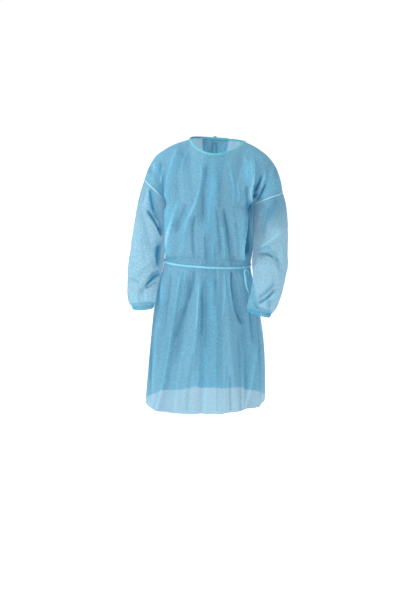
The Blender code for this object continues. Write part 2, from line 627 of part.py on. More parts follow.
def cloth_under(spots, count, cloth, side, closed=False):
    """Where a smooth path through spots of the front view meets the cloth, and the cloth's own directions."""
    if closed:
        way = smooth_closed(np.array(spots), count)
    else:
        way = smooth(np.linspace(0, 1, len(spots)), spots, np.linspace(0, 1, count))
    tree = BVHTree.FromPolygons(cloth.reshape(-1, 3).tolist(), grid_triangles(cloth))
    hits, out = [], []
    for x, z in way:
        hit, normal, _, _ = tree.ray_cast((x, side, z), (0, -side, 0))
        hits.append(hit)
        out.append(normal if normal.y * side > 0 else -normal)
    hits, out = np.array(hits), np.array(out)
    for _ in range(3):
        before, after = (np.roll(out, 1, 0), np.roll(out, -1, 0)) if closed else (out[:-2], out[2:])
        here = slice(None) if closed else slice(1, -1)
        out[here] = unit(before + 2 * out[here] + after)
    return hits, out


def smooth_closed(points, count):
    """A smooth closed curve through the points."""
    number = len(points)
    ring = np.concatenate([points[-2:], points, points[:3]])
    return smooth(np.arange(len(ring)), ring, np.linspace(2, 2 + number, count, endpoint=False))


def add_tie_on(name, spots, cloth, side, colour, width):
    """A tie's free end lying flat on the cloth."""
    path, out = cloth_under(spots, 12, cloth, side)
    ahead = unit(np.gradient(path, axis=0))
    across = unit(np.cross(out, ahead))
    add_strip(name, path + out * TIE_GAP, across, unit(np.cross(ahead, across)), width, TIE_THICK, colour)


def add_waist_tie(front, right_back, left_back):
    path, out = belt_path(front, right_back, left_back)
    upright = np.tile([0.0, 0.0, 1.0], (len(path), 1))
    add_strip("waist_tie", path, upright, out, TIE_WIDTH, TIE_THICK, TIE, closed=True)
    middles = path + out * (TIE_THICK + SEAM_GAP + KNOT_DEPTH / 2)
    at = np.argmin(np.abs(middles[:, 0] - WAIST_KNOT_X) + 10 * (path[:, 1] > 0))
    knot = middles[at]
    add_knot("waist_knot", knot, out[at], TIE)
    loop_spots, tail_spots = (
        [(knot[0] + x, knot[2] + z) for x, z in table] for table in (WAIST_LOOP, WAIST_TAIL)
    )
    loop, away = cloth_under(loop_spots, 24, front, -1, closed=True)
    loop += away * LOOP_CLEAR
    near_knot = ease(loop[:, 2] - knot[2], -0.030, -0.010)
    loop[:, 1] += (knot[1] - loop[:, 1]) * near_knot
    ahead = unit(np.roll(loop, -1, 0) - np.roll(loop, 1, 0))
    across = unit(np.cross(away, ahead))
    leaning = unit(away * 0.85 + across * 0.5)
    thick = unit(np.cross(ahead, leaning))
    add_strip("waist_loop", loop, leaning, thick, TIE_WIDTH * 0.7, TIE_THICK * 0.7, TIE, closed=True)
    add_tie_on("waist_tail", tail_spots, front, -1, TIE, TIE_WIDTH * 0.8)


def add_neck_ties(right_back, right_back_out):
    """The binding's two free ends, tied at the back of the neck and hanging down the back."""
    at = SHOULDER_COLUMNS + sum(OVERLAP_COLUMNS) // 2
    rows = right_back[:2, at]
    up, out = unit(rows[0] - rows[1]), right_back_out[0, at]
    away = BINDING_THICK / 2 - WALL / 2 + SEAM_GAP + KNOT_DEPTH / 2
    middle = rows[0] + up * (SEAM_GAP + BINDING_WIDTH / 2) + out * away
    add_knot("neck_knot", middle, unit(out * (1, 1, 0)), BINDING)
    add_tie_on("neck_tie_right", RIGHT_NECK_TIE, right_back, 1, BINDING, TIE_WIDTH)
    add_tie_on("neck_tie_left", LEFT_NECK_TIE, right_back, 1, BINDING, TIE_WIDTH)


def main():
    for old in list(bpy.data.objects):
        bpy.data.objects.remove(old)
    front, back = folded(panel_columns(), -1, FRONT_FOLDS), folded(panel_columns(), 1, BACK_FOLDS)
    right, left = (
        sleeve_points(RIGHT_SLEEVE, RIGHT_SLEEVE_FOLDS, False),
        sleeve_points(LEFT_SLEEVE, LEFT_SLEEVE_FOLDS, True),
    )
    front_out, back_out = normals(front, -1), normals(back, 1)
    right_out, left_out = tube_normals(right, False), tube_normals(left, True)
    share_seams(front_out, back_out, right_out, left_out)
    right_back, right_back_out, left_back, left_back_out = overlapped(back, back_out)
    add_cloth("front", front, front_out, CLOTH, ("top", "first", "last"))
    add_cloth("back_right", right_back, right_back_out, CLOTH, ("top", "first"), flip=True)
    add_cloth("back_left", left_back, left_back_out, CLOTH, ("top", "last"), flip=True)
    add_cloth("sleeve_right", right, right_out, SLEEVE_CLOTH, ("top",), closed=True)
    add_cloth("sleeve_left", left, left_out, SLEEVE_CLOTH, ("top",), closed=True, flip=True)
    for name, table, is_left in (("cuff_right", RIGHT_CUFF, False), ("cuff_left", LEFT_CUFF, True)):
        cuff = cuff_points(table)
        add_cloth(name, cuff, tube_normals(cuff, is_left), SLEEVE_CLOTH, closed=True, flip=is_left)
    add_binding(front, right_back, left_back)
    add_waist_tie(front, right_back, left_back)
    add_neck_ties(right_back, right_back_out)


main()
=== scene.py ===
"""The isolation gown's looks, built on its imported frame.

Each panel repeats the frame's tables and functions on a finer grid, so the cloth lies in its own solid. Then
it adds the creases, gathers and crinkle that thin nonwoven cloth has. Metres, +Z up, the wearer faces -Y.
"""

import math
from collections import namedtuple

import bmesh
import bpy
import numpy as np
from mathutils import Matrix, Vector
from mathutils.bvhtree import BVHTree
from mathutils.geometry import convex_hull_2d


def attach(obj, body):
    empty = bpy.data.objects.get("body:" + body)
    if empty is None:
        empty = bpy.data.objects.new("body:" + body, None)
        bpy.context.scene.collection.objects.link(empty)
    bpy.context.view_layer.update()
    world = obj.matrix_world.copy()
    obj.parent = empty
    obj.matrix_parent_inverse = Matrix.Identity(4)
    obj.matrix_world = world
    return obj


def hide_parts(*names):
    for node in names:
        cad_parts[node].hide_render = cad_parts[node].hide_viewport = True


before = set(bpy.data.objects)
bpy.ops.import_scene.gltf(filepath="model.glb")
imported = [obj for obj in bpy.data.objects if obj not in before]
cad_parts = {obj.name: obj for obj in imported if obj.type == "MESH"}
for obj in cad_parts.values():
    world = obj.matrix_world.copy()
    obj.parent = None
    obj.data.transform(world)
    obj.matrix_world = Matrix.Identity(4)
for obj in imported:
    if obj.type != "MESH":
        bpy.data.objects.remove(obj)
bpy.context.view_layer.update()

# ---- sizes ----

# grid rows from the shoulder line to the underarm, from there to the belt, and on to the hem
YOKE_ROWS, ROWS_TO_BELT, ROWS_TO_HEM = 110, 84, 200
BELT_ROW = YOKE_ROWS + ROWS_TO_BELT
SHOULDER_COLUMNS, NECK_COLUMNS = 80, 76
OVERLAP_COLUMNS = (22, 54)  # of the neck's columns, where the back panels lie on each other
OVERLAP_LIFT, OVERLAP_RISE = 0.0050, (27, 5)  # the upper panel's lift, and the columns over which it rises
SLEEVE_RINGS, SLEEVE_POINTS = 190, 2 * YOKE_ROWS
CUFF_RINGS, CUFF_TUCK = 14, 0.0026
SEAM_GAP = 0.0003
BINDING_WIDTH, BINDING_THICK = 0.0078, 0.0024
BINDING_RISE, BINDING_TUCK = 0.004, 0.0006  # from the cloth's edge to the binding's middle, and its overlap
BINDING_STEP, BINDING_STITCH = 0.0018, (0.0026, 0.0003)  # a stitch's length and radius
SEAM_WIDTH, SEAM_THICK, SEAM_SUNK = 0.0034, 0.0011, 0.0004
SEAM_STEP, SEAM_STITCH = 0.0022, (0.0032, 0.00032)
TIE_WIDTH, TIE_THICK = 0.0080, 0.0018
BELT_LIFT, TIE_GAP, TIE_CURL = 0.0007, 0.0005, 0.28  # the curl in radians
PRESS_REACH, TOUCH = 0.012, 0.0005  # a sleeve this near the body is drawn to it, and how near it stays
KNOT_WIDTH, KNOT_HEIGHT, KNOT_DEPTH = 0.015, 0.012, 0.009


def read_mm(kind, lengths, rows):
    """Named rows from rows whose first values, as many as lengths says, are in millimetres."""
    return [kind(*(value / 1000 for value in row[:lengths]), *row[lengths:]) for row in rows]


NECK_RIGHT, NECK_LEFT = 0.35, 0.70
Shoulder = namedtuple("Shoulder", "x y z u")
RIGHT_SHOULDER = read_mm(Shoulder, 3, [
    (-251, 5, -151.9, 0),
    (-236, 6, -110.9, 0.05),
    (-213, 8, -72, 0.1),
    (-177.8, 10, -44.2, 0.17),
    (-132, 12, -21, 0.26),
    (-85, 12, -6, NECK_RIGHT),
])
LEFT_SHOULDER = read_mm(Shoulder, 3, [
    (129, 12, -16, NECK_LEFT),
    (170, 12, -37, 0.77),
    (213, 10, -70, 0.84),
    (242.5, 8, -110.9, 0.9),
    (259, 6, -155.6, 0.95),
    (267, 5, -200.6, 1),
])
Neckline = namedtuple("Neckline", "x front_y front_z back_y back_z u")
NECKLINE = read_mm(Neckline, 5, [
    (-85, 12, -6, 12, -6, NECK_RIGHT),
    (-70, -32, -28, 48, -4, 0.39),
    (-35, -68, -50, 73, -5, 0.45),
    (4, -82, -59, 81, -8, 0.51),
    (43, -76, -55, 78, -10, 0.57),
    (90, -44, -42, 58, -12, 0.64),
    (129, 12, -16, 12, -16, NECK_LEFT),
])
Fall = namedtuple("Fall", "start_forward start_down end_forward end_down edge")
FRONT_FALL = read_mm(Fall, 4, [
    (330, 0, -330, 90, 0),
    (300, 40, -130, 220, 0.06),
    (230, 60, 0, 290, 0.13),
    (160, 70, 20, 280, 0.27),
    (100, 110, 20, 240, 0.37),
    (80, 150, 20, 220, 0.5),
])
BACK_FALL = read_mm(Fall, 4, [
    (340, 0, -340, 0, 0),
    (300, 40, -130, 190, 0.06),
    (230, 50, 0, 290, 0.13),
    (160, 60, 0, 290, 0.27),
    (80, 120, 0, 270, 0.37),
    (70, 140, 0, 270, 0.5),
])
Section = namedtuple("Section", "right_z left_z right left front back dip square")
BODY = read_mm(Section, 7, [
    (-241.5, -252.8, 171.5, 160, 136, 120, 0, 2.4),
    (-325, -335, 173.5, 160, 141, 118, 0, 2.5),
    (-405, -415, 175.5, 157, 138, 113, 0, 2.4),
    (-459.5, -475, 177.5, 149, 127, 106, 0, 2.1),
    (-517, -531, 192.5, 157.5, 140, 124, 1, 2.3),
    (-575, -584, 206.5, 170, 148, 138, 2, 2.3),
    (-650, -650, 220, 184, 154, 153, 3, 2.3),
    (-770, -770, 234, 202, 161, 168, 5, 2.3),
    (-885, -876, 245, 208, 167, 179, 9, 2.3),
    (-1003, -990, 256, 210, 174, 188, 19, 2.3),
])
BELT_SECTION = 3
Ring = namedtuple("Ring", "outer_x outer_z inner_x inner_z middle_y half_depth")
RIGHT_SLEEVE = read_mm(Ring, 6, [
    (-251, -151.9, -171.5, -241.5, 5, 85),
    (-270, -207.7, -175.5, -290, 10, 84),
    (-282.9, -267.8, -176.8, -335, 16, 82),
    (-295.1, -336, -177.8, -385, 19, 79),
    (-305.5, -400.8, -180, -425, 18, 76),
    (-313.9, -458.3, -186, -470, 8, 73),
    (-318.4, -512.3, -195, -515, -12, 69),
    (-318, -556, -202, -555, -38, 63),
    (-315, -592, -205, -588, -62, 56),
    (-306, -618, -209.5, -613, -76, 47),
])
LEFT_SLEEVE = read_mm(Ring, 6, [
    (267, -200.6, 160, -252.8, 5, 85),
    (280.5, -245.2, 161.8, -295, 9, 84),
    (287.5, -305.7, 162.2, -345, 11, 82),
    (289.5, -365, 160.5, -390, 3, 78),
    (289, -425, 156.5, -430, -27, 74),
    (284.5, -472, 151.5, -470, -66, 69),
    (273, -515, 153.5, -510, -104, 62),
    (260, -557, 146.5, -545, -135, 56),
    (245, -596, 137, -578, -157, 51),
    (224, -630, 129, -605, -170, 45),
])
RIGHT_CUFF = read_mm(Ring, 6, [
    (-306.3, -616.5, -209.2, -611.5, -75.3, 47.2),
    (-302, -624, -213, -619, -79, 43),
    (-300, -632, -214.5, -627, -82, 42),
])
LEFT_CUFF = read_mm(Ring, 6, [
    (225, -628.5, 129.3, -603.5, -169.4, 45.3),
    (219.5, -636.5, 128, -611.5, -174, 41),
    (216, -644, 127.5, -619, -178, 40),
])

# The frame's folds: a soft ridge (height above 0) or trough (below 0) through three points of the front view.
# lean steepens one side: above 0 the wearer's left side, below 0 the right. tint is painted light and shade:
# it brightens the colour on a crest as a painted highlight, and deepens it in a trough as painted shade where
# the cloth is shut off from the light, partly also the denser colour where the cloth is gathered.
Fold = namedtuple("Fold", "x0 z0 x1 z1 x2 z2 width height lean tint", defaults=[None])
FRONT_FOLDS = read_mm(Fold, 8, [
    (-112, -28, -154, -140, -158, -245, 16, 20, -0.35, 0.35),
    (-158, -215, -157, -350, -152, -462, 16, 17, -0.35, 0.45),
    (-190, -75, -178, -150, -170, -200, 10, -8, 0, -0.25),
    (-124, -120, -128, -260, -130, -440, 13, -8, 0, -0.1),
    (-8, -75, -24, -190, -30, -350, 15, -13, 0.3, -0.05),
    (-38, -165, -70, -270, -136, -385, 13, 12, -0.45, 0.15),
    (-92, -235, -112, -310, -136, -340, 12, -8, 0, -0.1),
    (18, -100, 18, -260, 24, -420, 16, 9, 0, 0.1),
    (144, -60, 143, -170, 126, -260, 15, 18, 0.35, 0.35),
    (126, -240, 112, -360, 104, -470, 15, 18, 0.35, 0.3),
    (168, -150, 146, -270, 134, -450, 12, -16, -0.3, -0.45),
    (206, -105, 182, -170, 162, -215, 10, 10, 0.4, 0.3),
    (40, -235, 72, -390, 78, -480, 13, -13, -0.4, -0.15),
    (78, -480, 92, -600, 120, -690, 13, -14, -0.4, -0.1),
    (-106, -475, -142, -690, -196, -1010, 18, 18, 0.35, 0),
    (-70, -480, -94, -640, -140, -860, 16, -13, -0.3, -0.09),
    (-40, -490, -52, -660, -80, -900, 15, 11, 0.3, 0.08),
    (12, -500, 18, -720, 30, -1015, 18, 13, -0.2, 0.09),
    (-14, -520, -22, -780, -40, -1015, 17, -11, 0.2, -0.08),
    (50, -500, 64, -720, 96, -1000, 16, 9, 0, 0.06),
    (140, -580, 162, -800, 172, -1000, 16, 14, 0.3, 0.1),
    (116, -690, 128, -850, 136, -1005, 14, -10, 0, -0.07),
    (-156, -480, -180, -640, -216, -900, 14, -10, 0, -0.07),
])
BACK_FOLDS = read_mm(Fold, 8, [
    (-124, -60, -138, -180, -140, -440, 17, 15, -0.3),
    (152, -70, 142, -200, 122, -450, 17, 15, 0.3),
    (-84, -120, -96, -260, -94, -450, 15, -10, 0.2),
    (92, -120, 100, -260, 84, -450, 15, -10, -0.2),
    (-50, -200, -56, -340, -58, -460, 14, 10, 0),
    (-130, -490, -166, -720, -196, -1010, 18, 18, -0.3),
    (-86, -490, -108, -720, -128, -1010, 17, -13, 0.2),
    (-42, -500, -56, -740, -66, -1015, 17, 14, -0.2),
    (34, -500, 44, -740, 52, -1010, 17, -11, 0.2),
    (78, -490, 100, -730, 116, -1005, 17, 16, 0.3),
    (116, -490, 138, -740, 152, -1000, 15, -11, 0),
])
RIGHT_SLEEVE_FOLDS = read_mm(Fold, 8, [
    (-262, -215, -234, -300, -200, -390, 13, 13, -0.4),
    (-270, -270, -246, -345, -208, -430, 13, -14, 0.3),
    (-270, -570, -234, -535, -208, -490, 13, -12, 0.3),
    (-290, -520, -262, -480, -214, -455, 13, 10, -0.3),
    (-286, -300, -292, -400, -294, -480, 14, 6, 0),
])
LEFT_SLEEVE_FOLDS = read_mm(Fold, 8, [
    (170, -410, 222, -375, 272, -330, 13, 12, -0.4),
    (170, -440, 214, -420, 256, -440, 13, -14, 0.3),
    (168, -480, 214, -462, 256, -500, 12, 8, -0.3),
    (166, -570, 206, -545, 238, -500, 12, -10, 0.3),
    (254, -210, 252, -250, 238, -300, 12, -7, 0),
])
BACK_OF_SLEEVE = 0.8

# Finer creases that only the cloth has.
FRONT_CREASES = read_mm(Fold, 8, [
    (-180, -93, -184, -133, -189, -169, 5, 3, 0, 0.9),
    (-187, -195, -189, -269, -187, -351, 4, -3, 0, -0.6),
    (-128, -215, -143, -302, -165, -431, 4.5, 4, -0.3, 0.75),
    (-91, -227, -115, -276, -143, -339, 9, -4, 0, -0.35),
    (-38, -77, -40, -155, -58, -222, 4.5, 3.5, 0.3, 0.68),
    (-50, -206, -87, -280, -139, -357, 4.5, 4, -0.5, 0.68),
    (-65, -247, -91, -320, -103, -418, 4.5, 3, 0, 0.45),
    (-14, -84, -32, -183, -25, -314, 8, -4, 0, -0.3),
    (-56, -269, -69, -335, -62, -451, 6, -5, 0, -0.45),
    (8, -119, -5, -236, -12, -371, 10, 3.5, 0, 0.3),
    (13, -229, 24, -319, 34, -443, 7, -4, 0, -0.4),
    (42, -240, 57, -329, 71, -453, 4, -5, 0.5, -0.5),
    (35, -298, 46, -375, 47, -459, 6, 4, 0, 0.52),
    (68, -116, 81, -184, 75, -252, 4.5, 2.5, 0, 0.45),
    (87, -149, 101, -192, 96, -238, 4.5, 2.5, 0, 0.45),
    (151, -65, 153, -121, 136, -180, 5, 4, 0.4, 0.9),
    (140, -167, 133, -207, 140, -233, 4, 4, 0, 1.2),
    (138, -225, 125, -297, 112, -387, 5, 5, 0.4, 1.1),
    (114, -358, 110, -403, 111, -458, 5, 4, 0, 0.6),
    (142, -225, 137, -306, 134, -456, 16.5, -9, 0, -1.8),
    (127, -165, 124, -205, 126, -250, 6, -3, 0, -0.7),
    (147, -293, 149, -345, 143, -396, 5, 4, 0, 0.45),
    (202, -129, 182, -173, 171, -203, 5, 5, 0.4, 1.2),
    (187, -129, 168, -184, 163, -234, 4.2, -6, 0, -0.9),
    (206, -151, 182, -201, 169, -230, 3.6, -3, 0, -1.2),
    (-113, -366, -117, -412, -121, -451, 5, 2.5, 0, 0.3),
    (-25, -335, -21, -393, -17, -446, 6, -3, 0, -0.3),
    (4, -363, 6, -408, 5, -454, 5, 3, 0, 0.38),
    (88, -274, 94, -366, 97, -449, 6, -3, 0, -0.35),
    (-80, -36, -102, -85, -116, -142, 6, 2.5, 0, 0.3),
    (59, -77, 70, -120, 74, -162, 5, 2, 0, 0.3),
    (116, -43, 126, -96, 125, -156, 6, 2.5, 0, 0.38),
    (-207, -80, -213, -122, -212, -165, 6, 2.5, 0, 0.38),
    (-108, -472, -120, -560, -136, -676, 4.2, 5, -0.2, 0.65),
    (-132, -646, -151, -771, -173, -902, 4.2, 5, -0.2, 0.65),
    (-167, -868, -180, -937, -198, -1004, 4.2, 4, -0.2, 0.65),
    (-95, -475, -102, -550, -125, -661, 4, 3, 0, 0.45),
    (-65, -466, -71, -530, -95, -603, 7, -6, 0, -0.4),
    (-91, -588, -112, -662, -140, -756, 8, -5, 0, -0.4),
    (-45, -515, -51, -602, -56, -702, 4.5, 4, 0.3, 0.75),
    (-36, -547, -34, -641, -40, -727, 7, -4, 0, -0.35),
    (-1, -495, -3, -585, -3, -678, 9, 3, 0, 0.3),
    (21, -498, 12, -562, 8, -628, 7, -3, 0, -0.3),
    (47, -474, 49, -559, 38, -674, 4.5, 4, 0.2, 0.6),
    (75, -476, 77, -532, 87, -610, 4.5, -7, 0.5, -0.6),
    (85, -591, 98, -640, 121, -689, 5, -5, 0.5, -0.4),
    (66, -475, 68, -551, 79, -633, 4.5, 4, 0, 0.52),
    (18, -694, 20, -845, 21, -1001, 5, -4, 0.3, -0.4),
    (68, -856, 69, -936, 71, -1002, 4.5, -4, 0.3, -0.4),
    (163, -744, 151, -881, 132, -1001, 6, 5, 0.3, 0.52),
    (175, -766, 179, -869, 182, -970, 5, -4, 0, -0.2),
    (-232, -726, -231, -873, -231, -993, 6, -3, 0, -0.25),
    (-88, -699, -118, -851, -134, -1004, 6, 4, 0, 0.3),
    (-58, -751, -81, -885, -92, -1001, 7, -4, 0, -0.25),
    (-25, -736, -21, -868, -25, -1005, 7, 4, 0, 0.3),
    (98, -702, 106, -853, 107, -1001, 6, -3, 0, -0.25),
    (46, -697, 50, -848, 46, -999, 6, 3, 0, 0.22),
    (-183, -510, -194, -618, -206, -733, 6, 3.5, 0, 0.45),
    (-156, -486, -167, -596, -183, -747, 7, -4, 0, -0.3),
    (-210, -772, -219, -887, -222, -997, 6, 3, 0, 0.3),
    (136, -594, 143, -686, 151, -762, 5, -4, 0, -0.4),
    (125, -723, 122, -857, 119, -993, 6, 4, 0, 0.3),
    (-210, -649, -182, -616, -155, -585, 3.5, 1.5, 0, -0.2),
    (-84, -798, -62, -770, -47, -752, 3.5, 1.5, 0, 0.45),
])
RIGHT_SLEEVE_CREASES = read_mm(Fold, 8, [
    (-238, -173, -241, -217, -247, -253, 5, 4, 0, 0.6),
    (-227, -176, -222, -235, -192, -324, 7.5, -6, 0, -0.88),
    (-217, -257, -205, -288, -193, -325, 4, 4, 0, 0.6),
    (-248, -250, -219, -311, -193, -375, 5, 8, 0, 0.52),
    (-241, -253, -214, -304, -192, -358, 5.6, -6, 0, -1.25),
    (-205, -325, -198, -343, -193, -363, 7.5, -5, 0, -1.5),
    (-196, -388, -205, -437, -202, -490, 11.2, -6, 0, -1),
    (-214, -432, -209, -466, -200, -495, 4, 4, 0, 0.45),
    (-195, -502, -220, -521, -249, -547, 7.5, -7, 0, -1),
    (-206, -531, -223, -540, -245, -551, 6.3, -4, 0, -0.62),
    (-199, -518, -223, -533, -245, -544, 3.5, 4, 0, 0.75),
    (-209, -563, -214, -587, -221, -610, 4, 5, 0, 0.75),
    (-311, -520, -290, -522, -267, -535, 6.3, -4, 0, -0.38),
    (-276, -321, -284, -395, -287, -480, 7, 3, 0, 0.22),
    (-260, -345, -257, -412, -245, -470, 7.5, -3, 0, -0.25),
    (-298, -559, -293, -586, -281, -610, 5, 4, 0, 0.45),
    (-271, -550, -270, -581, -263, -609, 6.3, -4, 0, -0.38),
    (-245, -558, -241, -585, -237, -611, 5, 4, 0, 0.45),
])
LEFT_SLEEVE_CREASES = read_mm(Fold, 8, [
    (247, -214, 227, -261, 213, -320, 8.8, -3, 0, -0.25),
    (165, -414, 213, -382, 264, -326, 7, 8, -0.3, 0.75),
    (165, -423, 195, -411, 224, -395, 4, 4, 0, 0.6),
    (165, -427, 202, -419, 238, -436, 6.3, -6, 0, -0.75),
    (239, -429, 247, -452, 240, -481, 7.5, -5, 0, -0.5),
    (267, -345, 262, -409, 268, -472, 7, 4, 0, 0.45),
    (164, -588, 201, -567, 242, -534, 6.3, -7, 0, -0.88),
    (161, -566, 197, -545, 232, -506, 6, 6, 0, 0.6),
    (175, -591, 211, -576, 242, -547, 5, 5, 0, 0.52),
    (159, -456, 156, -513, 158, -554, 4, 3, 0, 0.45),
    (150, -578, 160, -596, 182, -606, 6.3, -4, 0, -0.44),
    (189, -586, 196, -603, 200, -618, 5, 4, 0, 0.45),
    (215, -569, 211, -590, 204, -611, 6.3, -4, 0, -0.5),
    (186, -250, 180, -293, 178, -346, 6, 3, 0, 0.3),
    (215, -242, 202, -306, 188, -366, 7.5, -3, 0, -0.31),
])

BELT_POINTS = 600
WAIST_KNOT_X = 0.1205
# Ways through spots, counted from the knot for the waist's loop and tail.
Spot = namedtuple("Spot", "x z")
WAIST_LOOP = read_mm(
    Spot, 2, [(2, -8.5), (-2, -17), (0, -40), (3.5, -66), (12.5, -90), (18.5, -66), (16.5, -40), (10, -17)]
)
WAIST_TAIL = read_mm(Spot, 2, [(7.5, -10), (10, -45), (15, -80), (19, -115)])
LOOP_CLEAR = 0.0064  # how far the loop hangs in front of the cloth, clear of the tail
RIGHT_NECK_TIE = read_mm(Spot, 2, [(7.5, -18), (0, -60), (-6, -120), (-9, -175)])
LEFT_NECK_TIE = read_mm(Spot, 2, [(17, -18), (21, -60), (23, -115), (27, -160)])

# The studio: its bright side, the light there and on the dim side, its floor, its lamps and the camera.
BRIGHT_SIDE = (-0.40, 0.82, 0.40)
WHITE, DIM = 1.02, 0.16
FLOOR_Z, FLOOR_HALF = -1.52, 40
LAMP_AIM = (0, 0, -0.2)
LAMPS = [("key", (-2.0, -1.5, 1.3), 0.9, 62), ("fill", (0.7, -3.2, 1.0), 1.6, 12)]  # name, place, size, power
CAMERA_PLACE, CAMERA_SLOPE, CAMERA_LENS = (-0.034, -3.77, 0.1024), 0.194, 59.21


# ---- curves, surfaces and noise ----


def smooth(keys, values, at):
    """A smooth curve through values at keys, read at any places."""
    keys, values = np.asarray(keys, float), np.asarray(values, float)
    slopes = np.gradient(values, keys, axis=0)
    at = np.clip(at, keys[0], keys[-1])
    i = np.clip(np.searchsorted(keys, at, side="right") - 1, 0, len(keys) - 2)
    span = keys[i + 1] - keys[i]
    t = (at - keys[i]) / span
    if values.ndim > 1:
        span, t = span[..., None], t[..., None]
    return hermite(values[i], values[i + 1], slopes[i] * span, slopes[i + 1] * span, t)


def hermite(start, end, leaving, arriving, t):
    t2, t3 = t * t, t * t * t
    return (
        (2 * t3 - 3 * t2 + 1) * start
        + (t3 - 2 * t2 + t) * leaving
        + (3 * t2 - 2 * t3) * end
        + (t3 - t2) * arriving
    )


def column(table, *names):
    return np.array([[getattr(row, name) for name in names] for row in table], float)


def ease(value, low, high):
    t = np.clip((value - low) / (high - low), 0, 1)
    return t * t * (3 - 2 * t)


def unit(vectors):
    vectors = np.asarray(vectors, float)
    return vectors / np.maximum(np.linalg.norm(vectors, axis=-1, keepdims=True), 1e-12)


def noise(x, y, seed, period=64):
    """Smooth noise from about -1 to 1, the same on each run. It repeats after period units of x."""
    table = np.random.default_rng(seed).uniform(-1, 1, (period, 64))
    xi, yi = np.floor(x).astype(int), np.floor(y).astype(int)
    fx, fy = ease(x - xi, 0, 1), ease(y - yi, 0, 1)

    def at(i, j):
        return table[(xi + i) % period, (yi + j) % 64]

    low = at(0, 0) * (1 - fx) + at(1, 0) * fx
    high = at(0, 1) * (1 - fx) + at(1, 1) * fx
    return low * (1 - fy) + high * fy


def wave(x, seed, period=64, row=0.5):
    """Smooth noise along one direction."""
    return noise(x, np.full_like(x, row), seed, period)


def crest(value):
    """Noise with sharp crests, from about -1 to 1."""
    return 1 - 2 * np.abs(value) ** 0.8


def top_edge(u, side):
    name = "front" if side < 0 else "back"
    points = smooth(column(NECKLINE, "u")[:, 0], column(NECKLINE, "x", name + "_y", name + "_z"), u)
    for table, here in ((RIGHT_SHOULDER, u <= NECK_RIGHT), (LEFT_SHOULDER, u >= NECK_LEFT)):
        on_shoulder = smooth(column(table, "u")[:, 0], column(table, "x", "y", "z"), u)
        points = np.where(here[..., None], on_shoulder, points)
    return points


def section(u, drop, side):
    """A point of the body at u across and drop down, from 0 at the underarm to 1 at the hem."""
    sizes = smooth(np.linspace(0, 1, len(BODY)), column(BODY, *Section._fields), drop)
    right_z, left_z, right, left, front, back, dip, square = np.moveaxis(sizes, -1, 0)
    angle = (u - 0.5) * math.pi
    half, middle = (right + left) / 2, (left - right) / 2
    depth = front if side < 0 else back
    across, along = np.abs(np.sin(angle)) / half, np.abs(np.cos(angle)) / depth
    radius = (across**square + along**square) ** (-1 / square)
    x = middle + radius * np.sin(angle)
    share = (x + right) / (right + left)
    z = right_z + (left_z - right_z) * share
    z = z - dip * np.clip(np.cos(angle), 0, 1) ** 0.5
    return np.stack([x, side * radius * np.cos(angle), z], -1)


def yoke(u, share, side):
    """A point between the top edge, at share 0, and the underarm level, at share 1."""
    fall = FRONT_FALL if side < 0 else BACK_FALL
    names = ("start_forward", "start_down", "end_forward", "end_down")
    out, down, out_end, down_end = np.moveaxis(
        smooth(column(fall, "edge")[:, 0], column(fall, *names), np.minimum(u, 1 - u)), -1, 0
    )
    zero = np.zeros_like(out)
    leaving = np.stack([zero, side * out, -down], -1)
    arriving = np.stack([zero, side * out_end, -down_end], -1)
    chest = section(u, np.zeros_like(u), side)
    return hermite(top_edge(u, side), chest, leaving, arriving, share[..., None])


def panel(u, v, side):
    upper, lower = yoke(u, np.minimum(v, 1), side), section(u, np.maximum(v - 1, 0), side)
    return np.where((v <= 1)[..., None], upper, lower)


def normals(points, out):
    return out * unit(np.cross(np.gradient(points, axis=1), np.gradient(points, axis=0)))


def relaxed(path, rounds, closed=False, directions=False):
    """The path after some rounds of smoothing. Its ends stay. Directions keep their length of 1."""
    path = path.copy()
    for _ in range(rounds):
        if closed:
            path = (np.roll(path, 1, 0) + 2 * path + np.roll(path, -1, 0)) / 4
        else:
            path[1:-1] = (path[:-2] + 2 * path[1:-1] + path[2:]) / 4
        if directions:
            path = unit(path)
    return path


FOLD_REACH, FOLD_STEPS = 0.05, 61  # how far a fold is felt, and how finely it is followed
HEM_REACH = 0.03  # a fold that ends this near the hem runs out through it
# a full tint is a full painted highlight on a crest or painted shade in a trough
FULL_TINT_HEIGHT, TINT_SHARE = 0.070, 0.85  # the height with a full tint, and the tint's share of the width
FOLD_CRISP, CREASE_CRISP = 0.15, 0.5  # from 0, a rounded fold, to 1, a sharp one
# the fine and hanging folds' tint is painted highlight on their crests and painted shade in their troughs
PANEL_FINE_TINT, SLEEVE_FINE_TINT = 22, 20  # tint per metre of the fine folds' height
HANGING_HEIGHT, HANGING_TINT = 0.0006, 0.45  # of the long soft folds on the sides and the back
DEEPER_LEFT, DEEPER_RIGHT, DEEPER_SKIRT = 0.44, 0.28, 0.20  # deeper at the sleeves' tops and the skirt's sides


